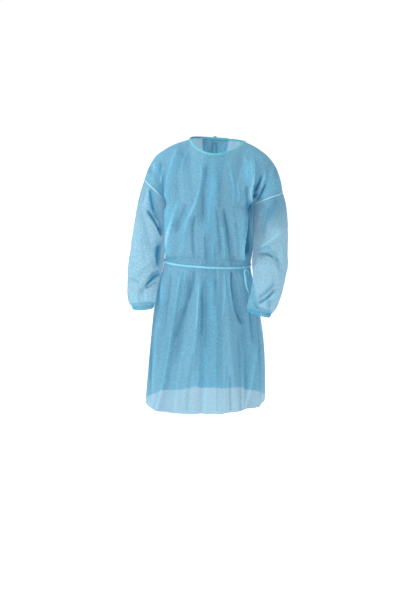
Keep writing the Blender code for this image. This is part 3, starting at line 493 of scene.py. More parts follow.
def fold_shape(points, folds, crisp):
    """The folds' height and tint at each point, by its distance to them in the front view. crisp sharpens.
    The tint is painted highlight on a crest and painted shade in a trough.
    """
    height, tint = np.zeros(points.shape[:-1]), np.zeros(points.shape[:-1])
    px, pz = points[..., 0], points[..., 2]
    for fold in folds:
        a, b, c = np.array(fold[:6]).reshape(3, 2)
        low = np.minimum(np.minimum(a, b), c) - FOLD_REACH
        high = np.maximum(np.maximum(a, b), c) + FOLD_REACH
        near = (px > low[0]) & (px < high[0]) & (pz > low[1]) & (pz < high[1])
        if not near.any():
            continue
        x, z = px[near], pz[near]
        best, place, lean = np.full(x.shape, np.inf), np.zeros(x.shape), np.zeros(x.shape)
        for t in np.linspace(0, 1, FOLD_STEPS):
            on = a * (1 - t) * (1 - 2 * t) + b * 4 * t * (1 - t) + c * t * (2 * t - 1)
            ahead = a * (4 * t - 3) + b * (4 - 8 * t) + c * (4 * t - 1)
            dx, dz = x - on[0], z - on[1]
            distance = np.hypot(dx, dz)
            closer = distance < best
            place = np.where(closer, t, place)
            # the side of the fold: above 0 to the wearer's left of a fold that runs down
            lean = np.where(closer, (dz * ahead[0] - dx * ahead[1]) / np.hypot(*ahead), lean)
            best = np.minimum(distance, best)
        ends = ease(place, 0, 0.2) * (1 - ease(place, 0.8, 1))
        if c[1] < BODY[-1].left_z + HEM_REACH:
            ends = np.where(place > 0.5, 1.0, ends)
        width = fold.width * (1 - fold.lean * np.clip(lean / fold.width, -1, 1))
        shape = (1 - crisp) * np.exp(-((best / width) ** 2)) + crisp * np.exp(-best / (0.5 * width))
        height[near] += fold.height * ends * shape
        strength = fold.height / FULL_TINT_HEIGHT if fold.tint is None else fold.tint
        tint[near] += strength * ends * np.exp(-((best / (TINT_SHARE * fold.width)) ** 2))
    return height, tint


# ---- meshes ----


def grid_quads(rows, cells, columns):
    """The corners of a grid's cells. The cell after the last column joins it to the first."""
    r, c = np.meshgrid(np.arange(rows - 1), np.arange(cells), indexing="ij")
    d = (c + 1) % columns
    here, below = r * columns, (r + 1) * columns
    return np.stack([here + c, below + c, below + d, here + d], -1).reshape(-1, 4)


def grid_mesh(name, points, closed, flip=False, fold=None):
    """A mesh of a grid of points, with its texture in metres. closed joins the last column to the first."""
    rows, columns = points.shape[:2]
    cells = columns if closed else columns - 1
    quads, places = grid_quads(rows, cells, columns), grid_quads(rows, cells, cells + 1)
    if flip:
        quads, places = quads[:, ::-1], places[:, ::-1]
    mesh = bpy.data.meshes.new(name)
    mesh.from_pydata(points.reshape(-1, 3).tolist(), [], quads.tolist())
    uv = lengths(points, closed).reshape(-1, 2)[places.reshape(-1)]
    mesh.uv_layers.new(name="UVMap").data.foreach_set("uv", uv.astype(np.float32).ravel())
    # fold carries the tint: painted highlight on crests and painted shade in troughs
    if fold is not None:
        made = mesh.attributes.new("fold", "FLOAT", "POINT")
        made.data.foreach_set("value", np.asarray(fold, np.float32).ravel())
    return mesh


def grid_tree(cloth):
    rows, columns = cloth.shape[:2]
    quads = grid_quads(rows, columns - 1, columns)
    return BVHTree.FromPolygons(cloth.reshape(-1, 3).tolist(), quads.tolist())


def add_object(name, data, place=(0, 0, 0), aim=(0, 0, 0)):
    made = bpy.data.objects.new(name, data)
    made.location, made.rotation_euler = place, aim
    bpy.context.scene.collection.objects.link(made)
    return made


def add_piece(name, mesh, material, node=None):
    mesh.shade_smooth()
    mesh.materials.append(material)
    made = add_object(name, mesh)
    if node:
        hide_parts(node)
    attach(made, "root")
    return made


def lengths(points, closed):
    """Texture coordinates in metres along a grid's rows and columns."""
    across = np.linalg.norm(np.diff(points, axis=1), axis=-1).mean(0)
    down = np.linalg.norm(np.diff(points, axis=0), axis=-1).mean(1)
    if closed:
        last = np.linalg.norm(points[:, 0] - points[:, -1], axis=-1).mean()
        across = np.concatenate([across, [last]])
    u = np.concatenate([[0], np.cumsum(across)])
    v = np.concatenate([[0], np.cumsum(down)])
    return np.stack(np.meshgrid(u, -v), -1)


def tube(path, side, up, outline, closed):
    """Points of a strip, one row per path point. Its cross-section is outline, (side, up) pairs in metres."""
    outline = np.asarray(outline, float)
    if outline.ndim == 2:
        outline = np.broadcast_to(outline, (len(path), *outline.shape))
    rows = path[:, None] + side[:, None] * outline[..., :1] + up[:, None] * outline[..., 1:]
    return np.concatenate([rows, rows[:1]]) if closed else rows


def band_outline(width, thick, count=20, power=3.2):
    """A flat band's rounded cross-section, with its inner face at 0."""
    turn = np.linspace(0, 2 * math.pi, count, endpoint=False)
    c, s = np.cos(turn), np.sin(turn)
    x = np.sign(c) * np.abs(c) ** (2 / power)
    y = np.sign(s) * np.abs(s) ** (2 / power)
    return np.stack([x * width / 2, (y + 1) * thick / 2], -1)


def capped(points):
    """An open tube's rows with a centre row at each end, so that its ends close."""
    first = np.repeat(points[:1].mean(1, keepdims=True), points.shape[1], 1)
    last = np.repeat(points[-1:].mean(1, keepdims=True), points.shape[1], 1)
    return np.concatenate([first, points, last])


# ---- materials ----


class Nodes:
    """Short names for making the nodes of a material or a world."""

    def __init__(self, owner):
        owner.use_nodes = True
        self.owner, self.tree = owner, owner.node_tree
        self.tree.nodes.clear()

    def add(self, kind, inputs=None, **settings):
        node = self.tree.nodes.new(kind)
        for key, value in settings.items():
            setattr(node, key, value)
        for key, value in (inputs or {}).items():
            if isinstance(value, bpy.types.NodeSocket):
                self.tree.links.new(value, node.inputs[key])
            else:
                node.inputs[key].default_value = value
        return node

    def noise(self, place, scale, detail, rough=0.55, distort=0.0):
        inputs = {"Vector": place, "Scale": scale, "Detail": detail, "Roughness": rough}
        inputs["Distortion"] = distort
        return self.add("ShaderNodeTexNoise", inputs).outputs["Fac"]

    def ramp(self, value, low, high, to_low, to_high, shape="LINEAR"):
        inputs = {"Value": value, "From Min": low, "From Max": high, "To Min": to_low, "To Max": to_high}
        return self.add("ShaderNodeMapRange", inputs, interpolation_type=shape).outputs["Result"]

    def mix(self, factor, a, b):
        a, b = ((*colour, 1) if isinstance(colour, tuple) else colour for colour in (a, b))
        return self.add("ShaderNodeMix", {0: factor, 6: a, 7: b}, data_type="RGBA").outputs[2]

    def math(self, operation, a, b):
        return self.add("ShaderNodeMath", {0: a, 1: b}, operation=operation).outputs[0]

    def scaled(self, colour, factor):
        node = self.add("ShaderNodeVectorMath", {0: colour, "Scale": factor}, operation="SCALE")
        return node.outputs["Vector"]

    def bump(self, height, distance, strength, normal=None):
        inputs = {"Height": height, "Distance": distance, "Strength": strength}
        if normal is not None:
            inputs["Normal"] = normal
        return self.add("ShaderNodeBump", inputs).outputs["Normal"]

    def principled(self, base, rough, **inputs):
        named = {key.replace("_", " "): value for key, value in inputs.items()}
        named = {"Base Color": base, "Roughness": rough, **named}
        return self.add("ShaderNodeBsdfPrincipled", named).outputs[0]

    def surface(self, shader, kind="Material"):
        self.add(f"ShaderNodeOutput{kind}", {"Surface": shader})
        return self.owner


# painted highlight colours for crests, bright then pale, of the sleeves and the cuffs
CREST_HIGHLIGHTS = (0.200, 0.580, 0.770), (0.400, 0.720, 0.860)  # of the sleeves and the cuffs
# name, colour, painted highlights bright and pale on crests, painted shade deep in valleys, light that passes,
# its share, see-through
FINISHES = [
    ("gown_cloth", (0.168, 0.385, 0.512), (0.150, 0.500, 0.690), (0.340, 0.680, 0.830))
    + ((0.004, 0.140, 0.255), (0.060, 0.400, 0.600), 0.34, 0.19),
    ("gown_sleeve", (0.250, 0.495, 0.615), *CREST_HIGHLIGHTS)
    + ((0.006, 0.190, 0.330), (0.100, 0.470, 0.660), 0.36, 0.36),
    ("gown_cuff", (0.130, 0.440, 0.600), *CREST_HIGHLIGHTS)
    + ((0.010, 0.230, 0.380), (0.060, 0.420, 0.620), 0.30, 0.10),
]


def cloth_material(name, colour, bright, pale, painted_trough_shade, glow, through, clear):
    """Thin spunbond nonwoven: cloudy fibres, bond points, a soft sheen, light through it and see-through.
    Its fold attribute paints highlights on crests and shade in troughs into the colour.
    """
    n = Nodes(bpy.data.materials.new(name))
    flat = n.add("ShaderNodeUVMap", uv_map="UVMap").outputs["UV"]
    place = n.add("ShaderNodeMapping", {"Vector": flat, "Scale": (1.0, 0.5, 1.0)}).outputs["Vector"]
    fold = n.add("ShaderNodeAttribute", attribute_name="fold").outputs["Fac"]
    cloud = n.noise(place, 110.0, 3.0, 0.6, 0.3)
    fibre = n.noise(place, 340.0, 3.0, 0.7, 0.8)
    crinkle = n.noise(flat, 62.0, 3.0, 0.55, 0.6)
    inputs = {"Vector": flat, "Scale": 620.0, "Randomness": 0.35}
    bonds = n.add("ShaderNodeTexVoronoi", inputs).outputs["Distance"]
    # the fold attribute paints light and shade: painted highlight, bright then pale, on crests, painted shade
    # in troughs
    base = n.mix(n.ramp(fold, 0.0, 0.5, 0.0, 1.0), colour, bright)
    base = n.mix(n.ramp(fold, 0.5, 1.0, 0.0, 1.0), base, pale)
    base = n.mix(n.ramp(fold, 0.0, -1.0, 0.0, 1.0), base, painted_trough_shade)
    light = n.ramp(cloud, 0.30, 0.70, 0.96, 1.04)
    grain = n.ramp(fibre, 0.30, 0.70, 0.78, 1.22)
    lines = n.ramp(n.math("ABSOLUTE", n.math("SUBTRACT", crinkle, 0.5), 0.0), 0.0, 0.022, 1.10, 1.0)
    tone = n.math("MULTIPLY", n.math("MULTIPLY", light, grain), lines)
    base = n.scaled(base, tone)
    base = n.mix(n.ramp(bonds, 0.0, 0.3, 0.16, 0.0), base, tuple(c * 0.62 for c in colour))
    rough = n.ramp(fibre, 0.3, 0.7, 0.62, 0.82)
    normal = n.bump(crinkle, 0.0010, 0.20)
    normal = n.bump(fibre, 0.0006, 0.5, normal)
    normal = n.bump(bonds, 0.0004, 0.35, normal)
    shader = n.principled(base, rough, Normal=normal, Specular_IOR_Level=0.2, Sheen_Weight=0.06)
    # light through the cloth takes the painted shade in troughs too, and less of the cloth is see-through
    # there
    passed = n.scaled(n.mix(n.ramp(fold, 0.0, -1.0, 0.0, 0.7), glow, painted_trough_shade), tone)
    lit_through = n.add("ShaderNodeBsdfTranslucent", {"Color": passed, "Normal": normal}).outputs[0]
    unseen = n.add("ShaderNodeBsdfTransparent").outputs[0]
    lit = n.add("ShaderNodeMixShader", {0: through, 1: shader, 2: lit_through}).outputs[0]
    gaps = n.ramp(tone, 0.7, 1.3, clear * 1.5, clear * 0.5)
    gaps = n.math("MULTIPLY", gaps, n.ramp(fold, 0.0, -1.0, 1.0, 0.2))
    return n.surface(n.add("ShaderNodeMixShader", {0: gaps, 1: lit, 2: unseen}).outputs[0])


def tape_material(name, colour, light, scale=900.0):
    """A folded strip of the same cloth: denser, with fine ribs across it."""
    n = Nodes(bpy.data.materials.new(name))
    place = n.add("ShaderNodeUVMap", uv_map="UVMap").outputs["UV"]
    fibre = n.noise(place, 420.0, 4.0, 0.7, 0.8)
    cloud = n.noise(place, 90.0, 3.0, 0.6)
    inputs = {"Vector": place, "Scale": scale, "Distortion": 1.5, "Detail": 2.0, "Detail Scale": 2.0}
    ribs = n.add("ShaderNodeTexWave", inputs, wave_type="BANDS", bands_direction="X").outputs["Fac"]
    base = n.mix(n.ramp(cloud, 0.3, 0.7, 0.0, 1.0), colour, light)
    base = n.mix(n.ramp(fibre, 0.35, 0.65, 0.35, 0.0), base, tuple(c * 0.7 for c in colour))
    normal = n.bump(cloud, 0.0010, 0.5)
    normal = n.bump(ribs, 0.00025, 0.4, normal)
    normal = n.bump(fibre, 0.0004, 0.4, normal)
    rough = n.ramp(fibre, 0.3, 0.7, 0.55, 0.75)
    return n.surface(n.principled(base, rough, Normal=normal, Sheen_Weight=0.25))


# ---- the gown ----


def panel_rows():
    belt = BELT_SECTION / (len(BODY) - 1)
    above = np.linspace(0, belt, ROWS_TO_BELT + 1)[1:]
    below = np.linspace(belt, 1, ROWS_TO_HEM + 1)[1:]
    return np.concatenate([np.linspace(0, 1, YOKE_ROWS + 1), 1 + above, 1 + below])


def panel_columns():
    over_right = np.linspace(0, NECK_RIGHT, SHOULDER_COLUMNS + 1)
    over_neck = np.linspace(NECK_RIGHT, NECK_LEFT, NECK_COLUMNS + 1)[1:]
    over_left = np.linspace(NECK_LEFT, 1, SHOULDER_COLUMNS + 1)[1:]
    return np.concatenate([over_right, over_neck, over_left])


def fine_height(points, u, v, seed):
    """The cloth's own small folds: pleats that hang down the skirt, gathers at the belt and soft crinkle."""
    belt = panel_rows()[BELT_ROW]
    z = points[..., 2]
    warp = 0.35 * noise(u * 6, z * 9, seed + 1) + 0.15 * noise(u * 14, z * 22, seed + 2)
    skirt = ease(v, belt + 0.02, belt + 0.25)
    chest = 1 - ease(v, belt - 0.1, belt)
    pleats = 0.6 * noise((u + 0.02 * warp) * 24, z * 2.2, seed + 3) + 0.4 * crest(
        noise((u + 0.03 * warp) * 17, z * 1.6, seed + 4)
    )
    height = 0.0010 * skirt * pleats
    drags = crest(noise((u * 0.55 + z * 0.5) * 14 + warp, (u - z) * 6, seed + 5))
    height += 0.0008 * chest * drags
    height += 0.0007 * crest(noise((u + 0.02 * warp) * 30, z * 3.5 + warp, seed + 10))
    gathers = noise(u * 62 + 0.6 * warp, z * 5, seed + 6) + 0.5 * noise(u * 110, z * 9, seed + 7)
    near_belt = np.exp(-np.abs(v - belt) / 0.055)
    height += 0.0018 * near_belt * gathers
    crinkle = crest(noise(u * 34 + warp * 1.5, z * 24 + warp, seed + 8)) * 0.6
    crinkle += crest(noise(u * 80 - warp, z * 50 + warp * 2, seed + 9)) * 0.35
    return height + 0.0004 * crinkle


def folded(columns, side, folds, creases, seed):
    """A panel with its folds, and their tint: painted highlight on the crests and painted shade in the
    troughs.
    """
    rows = panel_rows()
    u, v = np.meshgrid(columns, rows)
    points = panel(u, v, side)
    height, tint = fold_shape(points, folds, FOLD_CRISP)
    below = ease(v, 0.95, 1.3)
    edge = np.minimum(u, 1 - u)
    fade = ease(edge, 0.02 - 0.02 * below, 0.14 - 0.07 * below) * ease(v, 0.0, 0.16)
    pinch = 1 - 0.6 * np.exp(-(((v - rows[BELT_ROW]) / 0.04) ** 2))
    height = height * fade * pinch
    crease_height, crease_tint = fold_shape(points, creases, CREASE_CRISP)
    small = fine_height(points, u, v, seed)
    near_edge = ease(edge, 0.0, 0.05) * ease(v, 0.0, 0.06)
    height = height + (crease_height + small) * near_edge
    tint = tint * fade + crease_tint * ease(v, 0.0, 0.06) + PANEL_FINE_TINT * small * near_edge
    # the sides and the back have no creases of their own, so long soft ones hang there, with painted highlight
    # on their crests and painted shade in their troughs
    plain = ease(np.abs(u - 0.5), 0.30, 0.42) if side < 0 else 0.8
    hanging = crest(noise(u * 22 + 0.5 * noise(u * 5, v * 3, seed + 12), v * 2.2, seed + 11))
    height = height + HANGING_HEIGHT * plain * hanging * near_edge
    tint = tint + HANGING_TINT * plain * hanging * near_edge
    tint = tint - DEEPER_SKIRT * ease(v, 1.40, 1.75) * ease(np.abs(u - 0.5), 0.10, 0.28)
    return points + normals(points, side) * height[..., None], np.clip(tint, -1, 1)


def overlapped(back, ridge):
    """The back cut into its right and left panels, the right one lifted where it lies on the left."""
    columns = panel_columns()
    low, high = (SHOULDER_COLUMNS + c for c in OVERLAP_COLUMNS)
    lift = OVERLAP_LIFT * ease(columns, *(columns[low - c] for c in OVERLAP_RISE))
    right = (back + normals(back, 1) * lift[:, None])[:, : high + 1]
    return right, ridge[:, : high + 1], back[:, low:], ridge[:, low:]


def armhole_ring(left):
    share = np.linspace(0, 1, YOKE_ROWS + 1)
    edge = np.full_like(share, 1.0 if left else 0.0)
    front, back = yoke(edge, share, -1), yoke(edge, share, 1)
    return np.concatenate([front, back[::-1][1:-1]])


def ring_sizes(table, count):
    sizes = smooth(np.linspace(0, 1, len(table)), column(table, *Ring._fields), np.linspace(0, 1, count))
    return (sizes[:, k, None] for k in range(6))


def ring_points(table, count, turn, inset):
    outer_x, outer_z, inner_x, inner_z, middle_y, half = ring_sizes(table, count)
    across = np.stack([outer_x - inner_x, outer_x * 0, outer_z - inner_z], -1) / 2
    middle = np.stack([(outer_x + inner_x) / 2, middle_y, (outer_z + inner_z) / 2], -1)
    across = across - unit(across) * inset[..., None]
    depth = (half - inset)[..., None] * np.array([0, -1.0, 0])
    return middle + across * np.cos(turn)[..., None] + depth * np.sin(turn)[..., None]


def tube_normals(points, left):
    closed = np.concatenate([points[:, -1:], points, points[:, :1]], 1)
    return normals(closed, 1 if left else -1)[:, 1:-1]


def around(count):
    """Angles round a tube, in one row."""
    return np.linspace(0, 2 * math.pi, count, endpoint=False)[None, :]


def sleeve_points(table, folds, creases, left, seed):
    turn = around(SLEEVE_POINTS)
    along = np.linspace(0, 1, SLEEVE_RINGS + 1)
    rings = ring_points(table, SLEEVE_RINGS + 1, turn, np.zeros_like(turn))
    blend = ease(along, 0.0, 0.16)[:, None, None]
    points = armhole_ring(left)[None] * (1 - blend) + rings * blend
    out = tube_normals(points, left)
    facing = np.where(out[..., 1] < 0, -out[..., 1], BACK_OF_SLEEVE * out[..., 1])
    fade = ease(along, 0.0, 0.15) * (1 - ease(along, 0.85, 1.0))
    height, tint = fold_shape(points, folds, FOLD_CRISP)
    crease_height, crease_tint = fold_shape(points, creases, CREASE_CRISP)
    height = (height + crease_height) * facing * fade[:, None]
    # the tint paints highlight on the folds' crests and shade in their troughs; the fine folds' tint below
    # does the same
    tint = (tint + crease_tint) * np.clip(3 * facing, 0, 1) * ease(along, 0.0, 0.05)[:, None]
    tint = tint - (DEEPER_LEFT if left else DEEPER_RIGHT) * (1 - ease(along, 0.05, 0.38))[:, None]
    a, t = np.meshgrid(along, turn[0] / (2 * math.pi), indexing="ij")
    warp = noise(t * 6, a * 5, seed, 6)
    length = noise(t * 9 + 0.7 * warp, a * 7, seed + 1, 9)
    ripple = crest(noise(t * 5 + 0.4 * warp, a * 15 + 0.8 * warp, seed + 2, 5))
    crinkle = crest(noise(t * 26 + warp, a * 30 + warp, seed + 3, 26))
    gathers = noise(t * 40, a * 2.5, seed + 4, 40) + 0.5 * noise(t * 64, a * 3, seed + 5, 64)
    end = ease(a, 0.80, 1.0)
    fine = 0.0013 * length + 0.0010 * ripple * ease(a, 0.25, 0.5) + 0.0005 * crinkle
    fine = fine * ease(a, 0.0, 0.08) * (1 - ease(a, 0.93, 1.0)) + 0.0017 * end * gathers
    return points + out * (height + fine)[..., None], np.clip(tint + SLEEVE_FINE_TINT * fine, -1, 1)


def pressed(points, cloths):
    """The sleeve with its cloth drawn against the body's where the two hang close together."""
    points = points.copy()
    for tree in map(grid_tree, cloths):
        for ring in range(3, len(points)):
            for k in range(points.shape[1]):
                hit, _, _, distance = tree.find_nearest(Vector(points[ring, k]), PRESS_REACH)
                if hit is not None and distance > TOUCH:
                    away = (points[ring, k] - np.array(hit)) / distance
                    kept = TOUCH + (distance - TOUCH) * ease(distance, TOUCH, PRESS_REACH) ** 0.7
                    share = ease(ring, 3, 16)
                    points[ring, k] = np.array(hit) + away * (distance + (kept - distance) * share)
    return points


def cuff_points(table, seed):
    turn = around(2 * SLEEVE_POINTS)
    place = np.linspace(0, 1, CUFF_RINGS)[:, None]
    t = turn / (2 * math.pi)
    gathers = np.abs(np.sin(turn * 21 + 2.5 * noise(t * 11, place * 0 + 0.5, seed, 11)))
    gathers = gathers * (0.75 + 0.25 * noise(t * 23, place * 1.5, seed + 1, 23))
    waist = np.minimum(ease(place, 0.0, 0.25), 1 - ease(place, 0.75, 1.0))
    inset = CUFF_TUCK + 0.0030 * (1 - gathers) - 0.0010 * waist
    for line in (0.22, 0.80):  # two rows of stitching draw the casing in
        inset = inset + 0.0007 * np.exp(-(((place - line) / 0.07) ** 2))
    # the tint paints highlight on the gathers' tops and shade between them
    return ring_points(table, CUFF_RINGS, turn, inset), (1.6 * gathers - 1.0) * np.ones_like(place)


def add_cloth(name, points, fold, material, node, closed, flip):
    return add_piece(name, grid_mesh(name, points, closed, flip, fold), material, node)


def add_band(name, path, side, up, outline, material, node=None, closed=False):
    """A strip of tape along path."""
    rows = tube(path, side, up, outline, closed)
    mesh = grid_mesh(name, rows if closed else capped(rows), closed=True)
    work = bmesh.new()
    work.from_mesh(mesh)
    if closed:
        bmesh.ops.remove_doubles(work, verts=work.verts, dist=1e-7)
    bmesh.ops.recalc_face_normals(work, faces=work.faces)
    work.to_mesh(mesh)
    work.free()
    add_piece(name, mesh, material, node)


def resampled(path, step, *others):
    """Even distances along the path, about step apart, then the path and the other values there."""
    distances = np.concatenate([[0], np.cumsum(np.linalg.norm(np.diff(path, axis=0), axis=1))])
    at = np.linspace(0, distances[-1], max(2, int(distances[-1] / step)) + 1)
    return [at] + [interpolated(at, distances, values) for values in (path, *others)]


def interpolated(at, distances, values):
    return np.stack([np.interp(at, distances, values[:, k]) for k in range(3)], 1)


def add_stitches(name, path, out, along, size, material):
    """Short threads, each a small capsule that lies along the path on its surface."""
    length, thick = size
    turn = around(6)[0]
    steps = np.array([-0.5, -0.38, 0, 0.38, 0.5])
    radii = np.array([0.15, 0.8, 1.0, 0.8, 0.15]) * thick
    capsule = grid_quads(len(steps), len(turn), len(turn))[:, [0, 3, 2, 1]]
    points, faces = [], []
    for middle, up, ahead in zip(path, out, along):
        side = np.cross(up, ahead)
        faces += (capsule + len(points)).tolist()
        for s, r in zip(steps, radii):
            centre = middle + ahead * s * length
            points += [tuple(centre + side * math.cos(a) * r + up * math.sin(a) * r) for a in turn]
    mesh = bpy.data.meshes.new(name)
    mesh.from_pydata(points, [], faces)
    add_piece(name, mesh, material)


def neck_path(front, right_back, left_back):
    """The neck's edge from one back's edge round the front to the other's, with up and outward directions."""
    first, last = SHOULDER_COLUMNS, SHOULDER_COLUMNS + NECK_COLUMNS
    skipped = SHOULDER_COLUMNS + OVERLAP_COLUMNS[0]
    parts = [
        (left_back[:2, : last - skipped + 1], 1, 1),
        (front[:2, first : last + 1], -1, -1),
        (right_back[:2, first:], 1, 1),
    ]
    path, up, out = [], [], []
    for rows, side, step in parts:
        normal = normals(rows, side)[0]
        ahead = unit(np.gradient(rows[0], axis=0))
        above = unit(np.cross(normal, ahead))
        above *= np.sign(np.sum(above * (rows[0] - rows[1]), -1, keepdims=True))
        start = 1 if path else 0
        path += list(rows[0][::step][start:])
        up += list(above[::step][start:])
        out += list(normal[::step][start:])
    up, out = (relaxed(np.array(values), 16, directions=True) for values in (up, out))
    return np.array(path), up, out


def belt_path(*cloths):
    """The belt's way round the cloths, on the hull of their rows near it, and its outward directions."""
    cloth = np.concatenate([cloth[BELT_ROW + k] for cloth in cloths for k in (-4, -2, 0, 2, 4)])
    hull = cloth[convex_hull_2d([(p[0], p[1]) for p in cloth])]
    front = cloths[0][BELT_ROW]
    hull[:, 2] = np.polyval(np.polyfit(front[:, 0], front[:, 2], 1), hull[:, 0])
    steps = np.linalg.norm(np.roll(hull, -1, 0) - hull, axis=1)
    distances = np.concatenate([[0], np.cumsum(steps)])
    at = np.linspace(0, distances[-1], BELT_POINTS, endpoint=False)
    path = relaxed(interpolated(at, distances, np.concatenate([hull, hull[:1]])), 6, closed=True)
    ahead = unit(np.roll(path, -1, 0) - np.roll(path, 1, 0))
    out = unit(np.stack([ahead[:, 1], -ahead[:, 0], ahead[:, 0] * 0], 1))
    out *= np.sign(np.sum(out * (path - path.mean(0)), -1, keepdims=True))
    return path + out * BELT_LIFT, out


def cloth_under(spots, count, cloth, side, closed=False):
    """Where a smooth path through spots of the front view meets the cloth, and the cloth's own directions."""
    if closed:
        spots, number = np.array(spots), len(spots)
        ring = np.concatenate([spots[-2:], spots, spots[:3]])
        way = smooth(np.arange(len(ring)), ring, np.linspace(2, 2 + number, count, endpoint=False))
    else:
        way = smooth(np.linspace(0, 1, len(spots)), spots, np.linspace(0, 1, count))
    tree = grid_tree(cloth)
    hits, out = [], []
    for x, z in way:
        hit, normal, _, _ = tree.ray_cast((x, side, z), (0, -side, 0))
        hits.append(hit)
        out.append(normal if normal.y * side > 0 else -normal)
    hits, out = np.array(hits), relaxed(np.array(out), 24, closed, directions=True)
    return (hits if closed else relaxed(hits, 24)), out


def add_tie_on(name, spots, cloth, side, material, node, width, seed):
    """A tie's free end that lies on the cloth, a little curled along its length."""
    path, out = cloth_under(spots, 70, cloth, side)
    ahead = unit(np.gradient(path, axis=0))
    across = unit(np.cross(out, ahead))
    thick = unit(np.cross(ahead, across))
    t = np.linspace(0, 1, len(path))
    roll = TIE_CURL * wave(t * 5, seed) * ease(t, 0, 0.15)
    leaning = across * np.cos(roll)[:, None] + thick * np.sin(roll)[:, None]
    upward = thick * np.cos(roll)[:, None] - across * np.sin(roll)[:, None]
    lift = TIE_GAP + 0.0016 * np.abs(np.sin(roll)) + 0.0008 * ease(t, 0.6, 1.0)
    widths = width * (1 + 0.10 * wave(t * 7, seed + 1))
    outline = np.array([band_outline(one, TIE_THICK) for one in widths])
    add_band(name, path + thick * lift[:, None], leaning, upward, outline, material, node)


def add_knot(name, middle, out, material, node, seed):
    """A small tight knot: two turns of tape drawn over each other round a lump."""
    made = bmesh.new()
    bmesh.ops.create_uvsphere(made, u_segments=72, v_segments=48, radius=0.5)
    side = unit(np.cross(out, (0, 0, 1)))
    turn = Matrix([list(side), list(out), [0, 0, 1]]).transposed().to_4x4()
    size = Matrix.Diagonal((KNOT_WIDTH, KNOT_DEPTH, KNOT_HEIGHT, 1))
    for vertex in made.verts:
        p = np.array(vertex.co) * 2
        first = abs(p @ unit(np.array([0.35, 0.1, 0.93])))
        second = abs(p @ unit(np.array([0.93, 0.2, -0.30])))
        wrap = max(1 - (first / 0.42) ** 4, 0) * 0.16
        under = max(1 - (second / 0.36) ** 4, 0) * 0.11 if first > 0.36 else 0
        ribs = 0.012 * math.sin(first * 46) + 0.008 * math.sin(second * 50 + seed)
        vertex.co = Vector(p / 2 * (0.84 + wrap + under + ribs))
    bmesh.ops.transform(made, matrix=Matrix.Translation(middle) @ turn @ size, verts=made.verts)
    layer = made.loops.layers.uv.new("UVMap")
    for face in made.faces:
        for loop in face.loops:
            local = turn.inverted() @ (loop.vert.co - Vector(middle))
            loop[layer].uv = (local.x, local.z)
    mesh = bpy.data.meshes.new(name)
    made.to_mesh(mesh)
    made.free()
    add_piece(name, mesh, material, node)


def add_seam(name, path, out, material, thread):
    """A seam's narrow raised line, with its stitches on it."""
    at, path, out = resampled(path, SEAM_STEP, out)
    out = unit(out)
    ahead = unit(np.gradient(path, axis=0))
    side = unit(np.cross(out, ahead))
    wobble = 0.0003 * wave(at * 160, 5)
    outline = band_outline(SEAM_WIDTH, SEAM_THICK, 12, 2.2) - (0, SEAM_SUNK)
    add_band(name, path + side * wobble[:, None], side, out, outline, material)
    path, out, ahead, side = (values[1:-1:2] for values in (path, out, ahead, side))
    leaning = unit(ahead + side * 0.25)
    raised = path + out * (SEAM_THICK - SEAM_SUNK + 0.0001)
    add_stitches(name + "_stitches", raised, out, leaning, SEAM_STITCH, thread)


def build_cloth(pieces, thread):
    """The panels, the sleeves with their armhole seams, and the cuffs."""
    gown, sleeve, cuff = (cloth_material(*row) for row in FINISHES)
    seam = tape_material("seam_tape", (0.270, 0.600, 0.760), (0.360, 0.680, 0.820))
    front, front_fold = folded(panel_columns(), -1, FRONT_FOLDS, FRONT_CREASES, 10)
    back_creases = [
        fold._replace(x0=-fold.x0, x1=-fold.x1, x2=-fold.x2, tint=0.7 * fold.tint)
        for fold in FRONT_CREASES[4::2]
    ]
    right_back, right_fold, left_back, left_fold = overlapped(
        *folded(panel_columns(), 1, BACK_FOLDS, back_creases, 40)
    )
    for name, cloth, fold in (
        ("front", front, front_fold),
        ("back_right", right_back, right_fold),
        ("back_left", left_back, left_fold),
    ):
        pieces[name] = add_cloth(f"{name}_cloth", cloth, fold, gown, name, False, name != "front")
    for name, table, folds, creases, ends, left, seed in (
        ("right", RIGHT_SLEEVE, RIGHT_SLEEVE_FOLDS, RIGHT_SLEEVE_CREASES, RIGHT_CUFF, False, 70),
        ("left", LEFT_SLEEVE, LEFT_SLEEVE_FOLDS, LEFT_SLEEVE_CREASES, LEFT_CUFF, True, 90),
    ):
        points, fold = sleeve_points(table, folds, creases, left, seed)
        points = pressed(points, (front, left_back if left else right_back))
        part = f"sleeve_{name}"
        pieces[part] = add_cloth(f"{part}_cloth", points, fold, sleeve, part, True, left)
        ring, out = points[0], tube_normals(points, left)[0]
        path, out = (np.concatenate([values, values[:1]]) for values in (ring, out))
        points, fold = cuff_points(ends, 110 + left)
        part = f"cuff_{name}"
        pieces[part] = add_cloth(f"{part}_gathered", points, fold, cuff, part, True, left)
        add_seam(f"armhole_seam_{name}", path, out, seam, thread)
    return front, right_back, left_back


